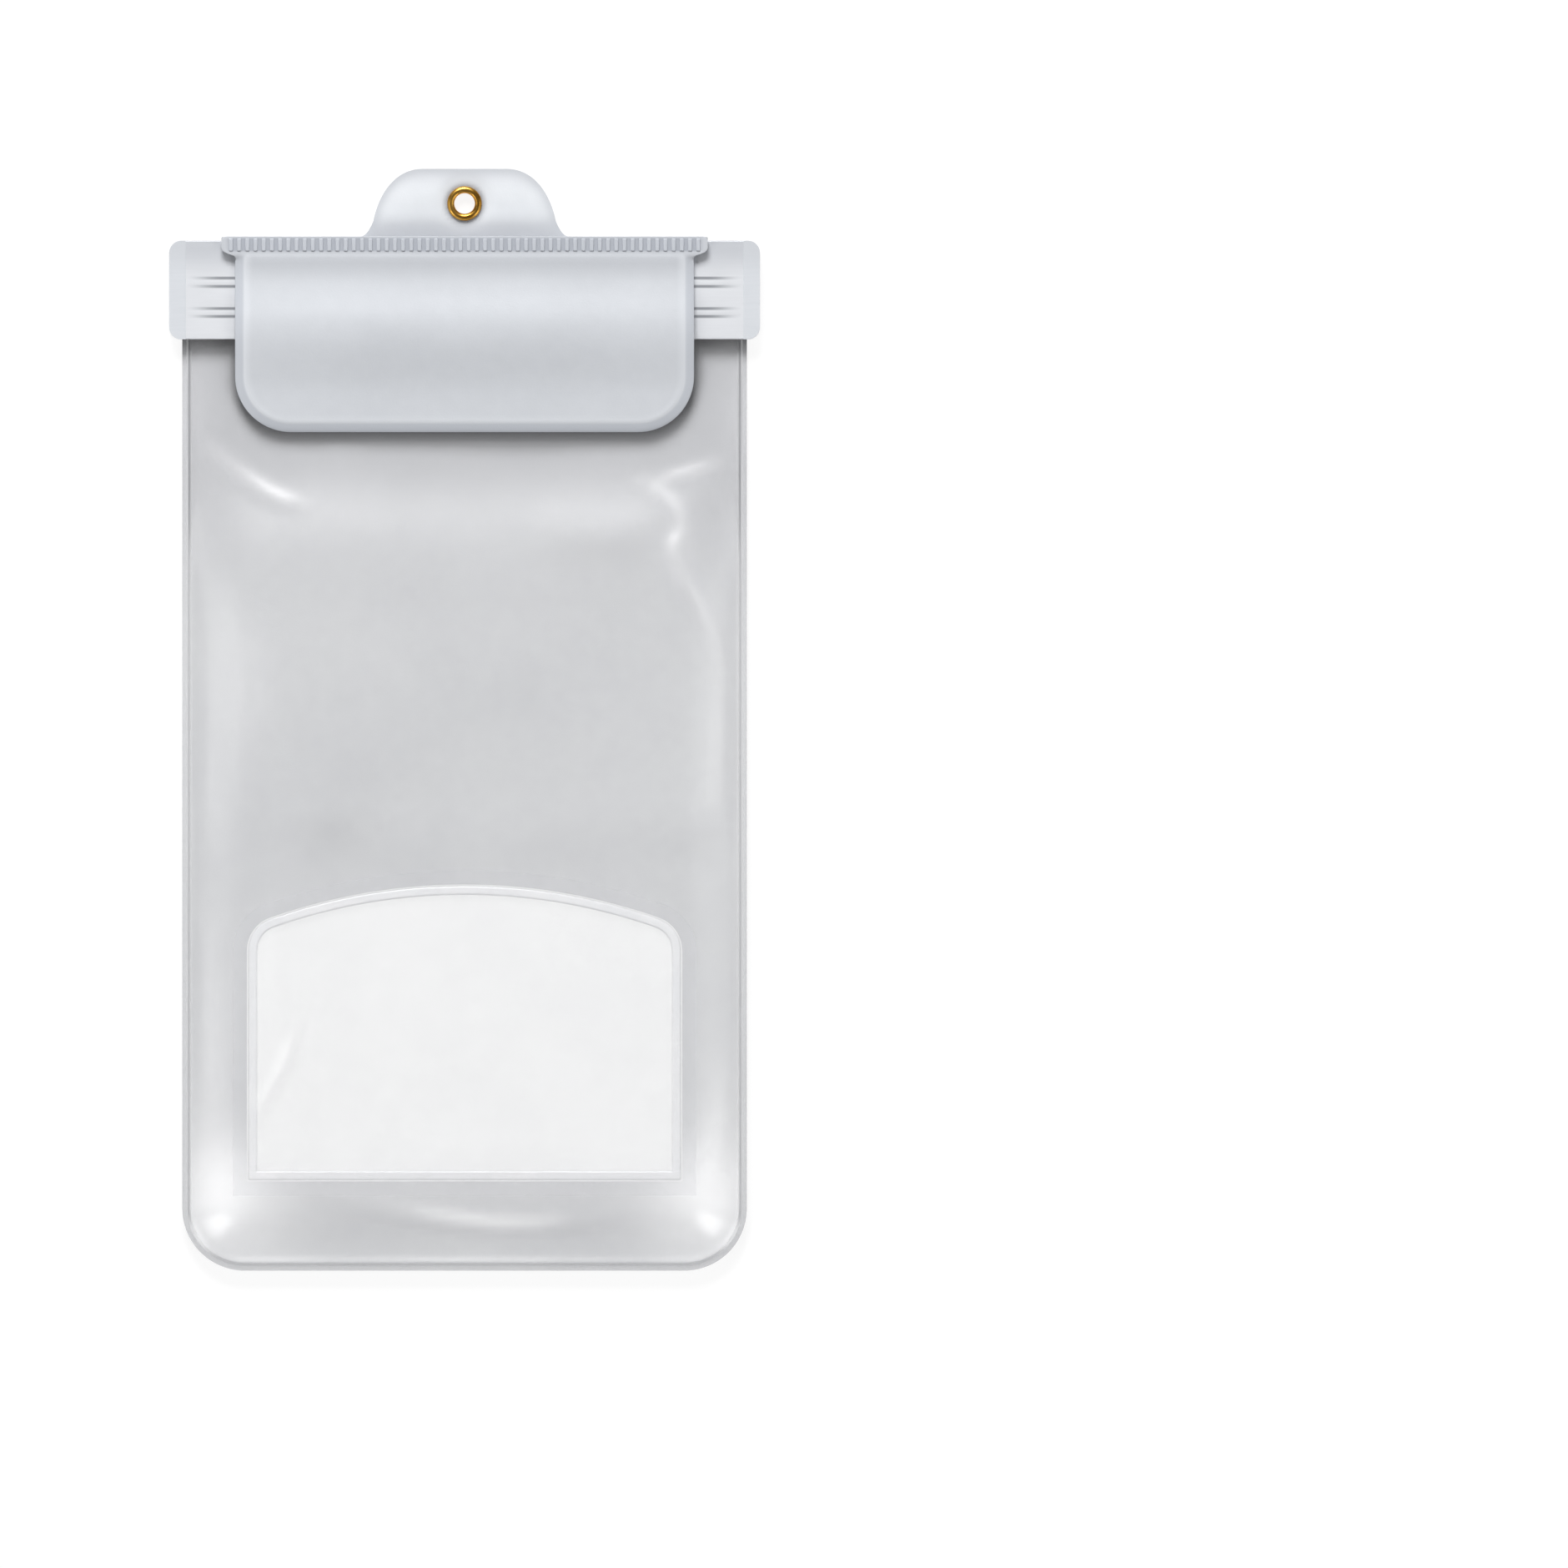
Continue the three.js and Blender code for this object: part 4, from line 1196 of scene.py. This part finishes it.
# %% [markdown]
# ### Shade under the closure
#
# Right beside the band and the flap hardly any light reaches the sheet below, so it gets a painted
# shadow there, and so does the film above it. Both sheets get an attribute named shade, strongest at the
# closure's outline and gone a few millimetres away, and their finishes darken with it. It ends inside the
# band, so that the open ends of the mouth keep the sheets' own tone.

# %% Mark the shade under the closure
shade_reach = 1.7 * mm
# Painted shadow beside the closure, on the back sheet's inner side and on the film.
for piece, strength in ((back_sheet, 0.85), (clear_front, 0.6)):
    x, y, _ = read_points(piece).T
    from_band = np.maximum(band_low.y - y, 0)
    from_flap = np.maximum(-flap_rim_distance(x, y), 0)
    nearest = np.minimum(from_band, from_flap)
    before_mouth = step(band_low.y + 7 * mm, band_low.y + 2 * mm, y)
    mark(piece, "shade", strength * before_mouth * np.exp(-((nearest / shade_reach) ** 2)))

# %% [markdown]
# ### The spine
#
# The flap is stiffened along its top by a moulded spine: a strip under the sheet with a wall that turns
# down behind the closure, and a row of short ribs on top. The strip starts as a cube and its back part is
# extruded down. One rib is a cube with rounded edges, and an Array modifier repeats it.

# %% Make the spine's strip
spine_wall = 0.7 * mm
strip_end = spine_half - 0.4 * mm
strip_front = spine_low_y + 0.5 * mm
strip_base, strip_top = over_band - 0.1 * mm, over_band + 0.45 * mm
flap_spine = block(
    "flap_spine", (-strip_end, strip_front, strip_base), (strip_end, flap_high.y, strip_top),
)
round_edges(flap_spine, 1.4 * mm, 6, lambda middle, _: abs(middle.x) > strip_end - 0.1 * mm and (
    min(middle.y - strip_front, flap_high.y - middle.y) < 1e-6))
bisect(flap_spine, (0, flap_high.y - spine_wall, 0), (0, 1, 0))
edit(flap_spine)
pick(flap_spine, lambda middle, normal: normal.z < -0.9 and middle.y > flap_high.y - spine_wall)
bpy.ops.mesh.extrude_region_move(TRANSFORM_OT_translate={"value": (0, 0, flap_low.z - strip_base)})
done()

# %% Make its ribs
rib_pitch = 1.966 * mm
rib_count = 58
rib_half = 0.5 * mm
rib_base = over_band + sheet_thickness + 0.5 * mm
first_rib = -(rib_count - 1) / 2 * rib_pitch
ribs = block("spine_ribs", (first_rib - rib_half, rib_low_y, rib_base - 0.4 * mm),
             (first_rib + rib_half, rib_high_y, rib_base + 0.28 * mm))
modify(ribs, "BEVEL", width=0.2 * mm, segments=3, limit_method="ANGLE", angle_limit=math.radians(60))
modify(ribs, "ARRAY", count=rib_count, use_relative_offset=False, use_constant_offset=True,
       constant_offset_displace=(rib_pitch, 0, 0))
flap_spine = join([flap_spine, ribs])
crisp(flap_spine)
dress(flap_spine, spine_grey)
hand_over(flap_spine, "grey_flap", "flap")


# %% [markdown]
# ## The hanging tab
#
# The tab is two layers of sheet welded round their edge, so its lobe is a little padded, and the eyelet
# pulls it in again where it is riveted. Its sides follow a Bezier curve. The steps along that curve get
# shorter towards its end, so the rows of the net lie closest where the outline turns over at the top.

# %% Outline of the tab
tab_side = 21.9 * mm
tab_foot = 24.9 * mm
tab_crown = 10 * mm
tab_base = flap_high.y
tab_side_y = tab_base + 3.6 * mm
tab_thickness = 1.2 * mm


def bezier(points, t):
    a, b, c, d = points
    return a * (1 - t) ** 3 + 3 * b * t * (1 - t) ** 2 + 3 * c * t**2 * (1 - t) + d * t**3


def tab_profile():
    """Half width and height of each row, from the foot hidden under the spine to the crown."""
    rows = [(tab_foot, tab_base - drop * mm) for drop in (3.5, 2, 0.6)]
    foot_rows, side_rows = 8, 28
    for k in range(foot_rows):
        t = k / foot_rows
        half = (1 - t) ** 2 * tab_foot + 2 * t * (1 - t) * (tab_side + tab_foot) / 2 + t * t * tab_side
        rows.append((half, tab_base * (1 - t) ** 2 + 2 * t * (1 - t) * tab_base + t * t * tab_side_y))
    turn_y = tab_high.y - 6.1 * mm
    for k in range(side_rows + 1):
        t = math.sin(k / side_rows * math.pi / 2) if k < side_rows else 1.0
        half = bezier((tab_side, tab_side - 1.3 * mm, tab_crown + 6.8 * mm, tab_crown), t)
        rows.append((half, bezier((tab_side_y, turn_y, tab_high.y, tab_high.y), t)))
    return np.array(rows)


# %% Make the tab
profile = tab_profile()
across_count = 61
plain_rows = np.arange(len(profile), dtype=float)
tab_net, _, _ = rounded_net("hang_tab", np.linspace(-1, 1, across_count), plain_rows)
flat = read_points(tab_net)
share = flat[:, 0] * 2
row = np.rint((flat[:, 1] + 0.5) * (len(profile) - 1)).astype(int)
x = share * profile[row, 0]
y = profile[row, 1]
outline = np.vstack([
    profile,
    [[s * tab_crown, tab_high.y] for s in np.linspace(1, -1, 21)[1:-1]],
    profile[::-1] * [-1, 1],
])
write_points(tab_net, x, y, np.full_like(x, tab_low.z))
modify(tab_net, "SOLIDIFY", thickness=tab_thickness, offset=1, use_even_offset=False)
print("tab: %.1f mm wide, %.1f mm high" % (2 * tab_side / mm, (tab_high.y - tab_base) / mm))


# %% Pad the tab and press it in round the eyelet
def tab_swell(x, y):
    edge_gap, _ = along_line(x, y, outline)
    eyelet_gap = np.hypot(x - eyelet_centre.x, y - eyelet_centre.y)
    lobe = step(tab_base - 3 * mm, tab_base + 9 * mm, y)
    padded = 0.8 * mm * (1 - np.exp(-((edge_gap / (4.2 * mm)) ** 2))) * lobe
    pressed = 0.65 * mm * np.exp(-((np.maximum(eyelet_gap - 4.3 * mm, 0) / (2.0 * mm)) ** 2))
    return np.maximum(padded - pressed, 0)


points = read_points(tab_net)
upper = points[:, 2] > tab_low.z + 0.5 * mm
points[upper, 2] += tab_swell(points[upper, 0], points[upper, 1])
write_points(tab_net, *points.T)

# %% The tab's hidden root, and the hole for the eyelet
root_half = tab_high.x
root_end, root_top = tab_base - 0.1 * mm, tab_low.z + tab_thickness
tab_root = block("tab_root", (-root_half, tab_low.y, tab_low.z), (root_half, root_end, root_top))
modify(tab_root, "BEVEL", width=0.25 * mm, segments=2, limit_method="ANGLE", angle_limit=math.radians(60))
modify(tab_net, "BOOLEAN", operation="UNION", solver="EXACT", object=tab_root)
bpy.data.objects.remove(tab_root)
hole_radius = 3.2 * mm
hole = arc(eyelet_centre.x, eyelet_centre.y, hole_radius, 0, 2 * math.pi, 48)[:-1]
cut(tab_net, plate("hole_cutter", hole, -1 * mm, 5 * mm))
smooth(tab_net, 40)
points = read_points(tab_net)
edge_gap, _ = along_line(points[:, 0], points[:, 1], outline)
eyelet_gap = np.hypot(points[:, 0] - eyelet_centre.x, points[:, 1] - eyelet_centre.y)
# Painted shade along the tab's edge and in the ring round the eyelet.
mark(tab_net, "rim", 0.75 * np.exp(-((edge_gap / (1.5 * mm)) ** 2)))
mark(tab_net, "pressed", 0.9 * np.exp(-((np.maximum(eyelet_gap - 4.1 * mm, 0) / (0.9 * mm)) ** 2)))
dress(tab_net, tab_grey)
hand_over(tab_net, "grey_flap", "hanging_tab")


# %% [markdown]
# ### The eyelet
#
# An eyelet is turned: every cut through its axis shows the same profile. So the profile is drawn once, as
# a closed ring of edges from the flange over the rounded mouth and down the barrel to the lip rolled over
# behind, and spun round the axis.

# %% Profile of the eyelet
hole_inner = 2.45 * mm
barrel_outer = 2.9 * mm
flange_outer = eyelet_high.x - eyelet_centre.x
flange_low = tab_low.z + tab_thickness
flange_edge = 0.15 * mm
lip_low = eyelet_low.z
lip_outer = barrel_outer + 0.8 * mm
lip_round = 0.1 * mm


def eyelet_profile():
    crown_radius = (flange_outer - hole_inner) / 2
    crown_x = (flange_outer + hole_inner) / 2
    crown_height = eyelet_high.z + 0.1 * mm - flange_low - flange_edge
    crown_steps = 16
    crown = [
        (crown_x + crown_radius * math.cos(a), flange_low + flange_edge + crown_height * math.sin(a))
        for a in (math.pi * k / crown_steps for k in range(crown_steps + 1))
    ]
    return [
        *crown, (hole_inner, lip_low + lip_round), (hole_inner + lip_round, lip_low),
        (lip_outer - lip_round, lip_low), (lip_outer, lip_low + lip_round),
        (lip_outer - lip_round / 2, lip_low + 2 * lip_round), (barrel_outer, lip_low + 2 * lip_round),
        (barrel_outer, flange_low), (flange_outer, flange_low),
    ]


# %% Spin the eyelet
def spun(name, profile, centre, steps=64):
    count = len(profile)
    corners = [(centre.x + r, centre.y, z) for r, z in profile]
    piece = new_piece(name, corners, edges=[(k, (k + 1) % count) for k in range(count)])
    edit(piece, "VERT")
    bpy.ops.mesh.select_all(action="SELECT")
    bpy.ops.mesh.spin(steps=steps, angle=2 * math.pi, center=(centre.x, centre.y, 0), axis=(0, 0, 1))
    bpy.ops.mesh.select_all(action="SELECT")
    bpy.ops.mesh.remove_doubles(threshold=1e-6)
    face_outwards()
    return piece


eyelet_ring = spun("eyelet_ring", eyelet_profile(), eyelet_centre)
smooth(eyelet_ring, 50)
dress(eyelet_ring, brass)
hand_over(eyelet_ring, "eyelet_brass", "eyelet")


# %% [markdown]
# ## Parts that stay as they are
#
# The window's pane, the strip inside the mouth, the two tapes and the eyelet's washer already have their
# true shape in the frame. They only need a finish.

# %% Finish the parts that stay
for node, finish in (
    ("window_film", pane_clear),
    ("back_closure_strip", strip_pale),
    ("loop_tape", tape_grey),
    ("hook_tape", tape_grey),
    ("eyelet_washer", brass),
):
    dress(frame["nodes"][node], finish)
    print(node, "is finished with", finish.name)
frame["nodes"]["window_film"].visible_shadow = False


# %% [markdown]
# ## Studio
#
# The pouch lies on a white table and is looked at from straight above. The lamps and the world light it
# at a plain level, so that each colour renders about as it is written. The table looks white to the
# camera, and to anything that reflects or shows it, because part of what those rays see is a plain glow;
# the rest is ordinary white paint, which still takes the pouch's shadow.

# %% Table
deselect_all()
bpy.ops.mesh.primitive_plane_add(size=6, location=(0, 0, -0.05 * mm))
table = bpy.context.object
table.name = "table"
paint = Paint("table_white")
rays = paint.node("ShaderNodeLightPath")
camera_ray = Wire(paint, rays.socket.node.outputs["Is Camera Ray"])
glossy_ray = Wire(paint, rays.socket.node.outputs["Is Glossy Ray"])
clear_ray = Wire(paint, rays.socket.node.outputs["Is Transmission Ray"])
seen_directly = camera_ray.larger(glossy_ray).larger(clear_ray)
white_paint = paint.node("ShaderNodeBsdfDiffuse", None, {"Color": (0.8, 0.8, 0.8, 1)})
glow = paint.node("ShaderNodeEmission", None, {"Color": (1, 1, 1, 1), "Strength": 1.12})
paint.finish(paint.node("ShaderNodeMixShader", None, {0: 0.78 * seen_directly, 1: white_paint, 2: glow}))
dress(table, paint.material)


# %% [markdown]
# One broad lamp beyond the tab puts the soft light on the flap's bulge. Two on the sides and two low in
# the corners fill in, and give the film's folds something long and bright to reflect.

# %% Lamps and world
def lamp(name, place, aim, width, height, power):
    light = bpy.data.lights.new(name, "AREA")
    light.shape = "RECTANGLE"
    light.size, light.size_y = width, height
    light.energy = power
    stand = bpy.data.objects.new(name, light)
    stand.location = place
    stand.rotation_euler = (Vector(aim) - Vector(place)).to_track_quat("-Z", "Y").to_euler()
    bpy.context.scene.collection.objects.link(stand)


lamp("key", (-0.12, 1.1, 0.8), (0, 0, 0), 0.6, 0.45, 18.2)
lamp("side_left", (-1.1, 0.05, 0.9), (0, 0, 0), 0.35, 1.0, 1.5)
lamp("side_right", (1.1, 0.05, 0.9), (0, 0, 0), 0.35, 1.0, 1.5)
lamp("corner_left", (-1.1, -0.75, 0.95), (0, 0, 0), 0.7, 0.7, 4.8)
lamp("corner_right", (1.1, -0.75, 0.95), (0, 0, 0), 0.7, 0.7, 4.8)

world = bpy.data.worlds.new("studio")
world.use_nodes = True
world.node_tree.nodes["Background"].inputs["Color"].default_value = (1, 1, 1, 1)
world.node_tree.nodes["Background"].inputs["Strength"].default_value = 0.14
bpy.context.scene.world = world
bpy.context.scene.view_settings.view_transform = "Standard"

# %% [markdown]
# The camera has no perspective, because the photograph has none: every side of the pouch is seen exactly
# edge on. It hangs straight above, and its frame is wider than the pouch, as in the photograph.

# %% Camera
lens = bpy.data.cameras.new("camera")
lens.type = "ORTHO"
lens.ortho_scale = 0.376
lens.clip_start = 0.01
lens.clip_end = 10
camera = bpy.data.objects.new("camera", lens)
camera.location = (0.0766, -0.0154, 1.0)
bpy.context.scene.collection.objects.link(camera)
bpy.context.scene.camera = camera
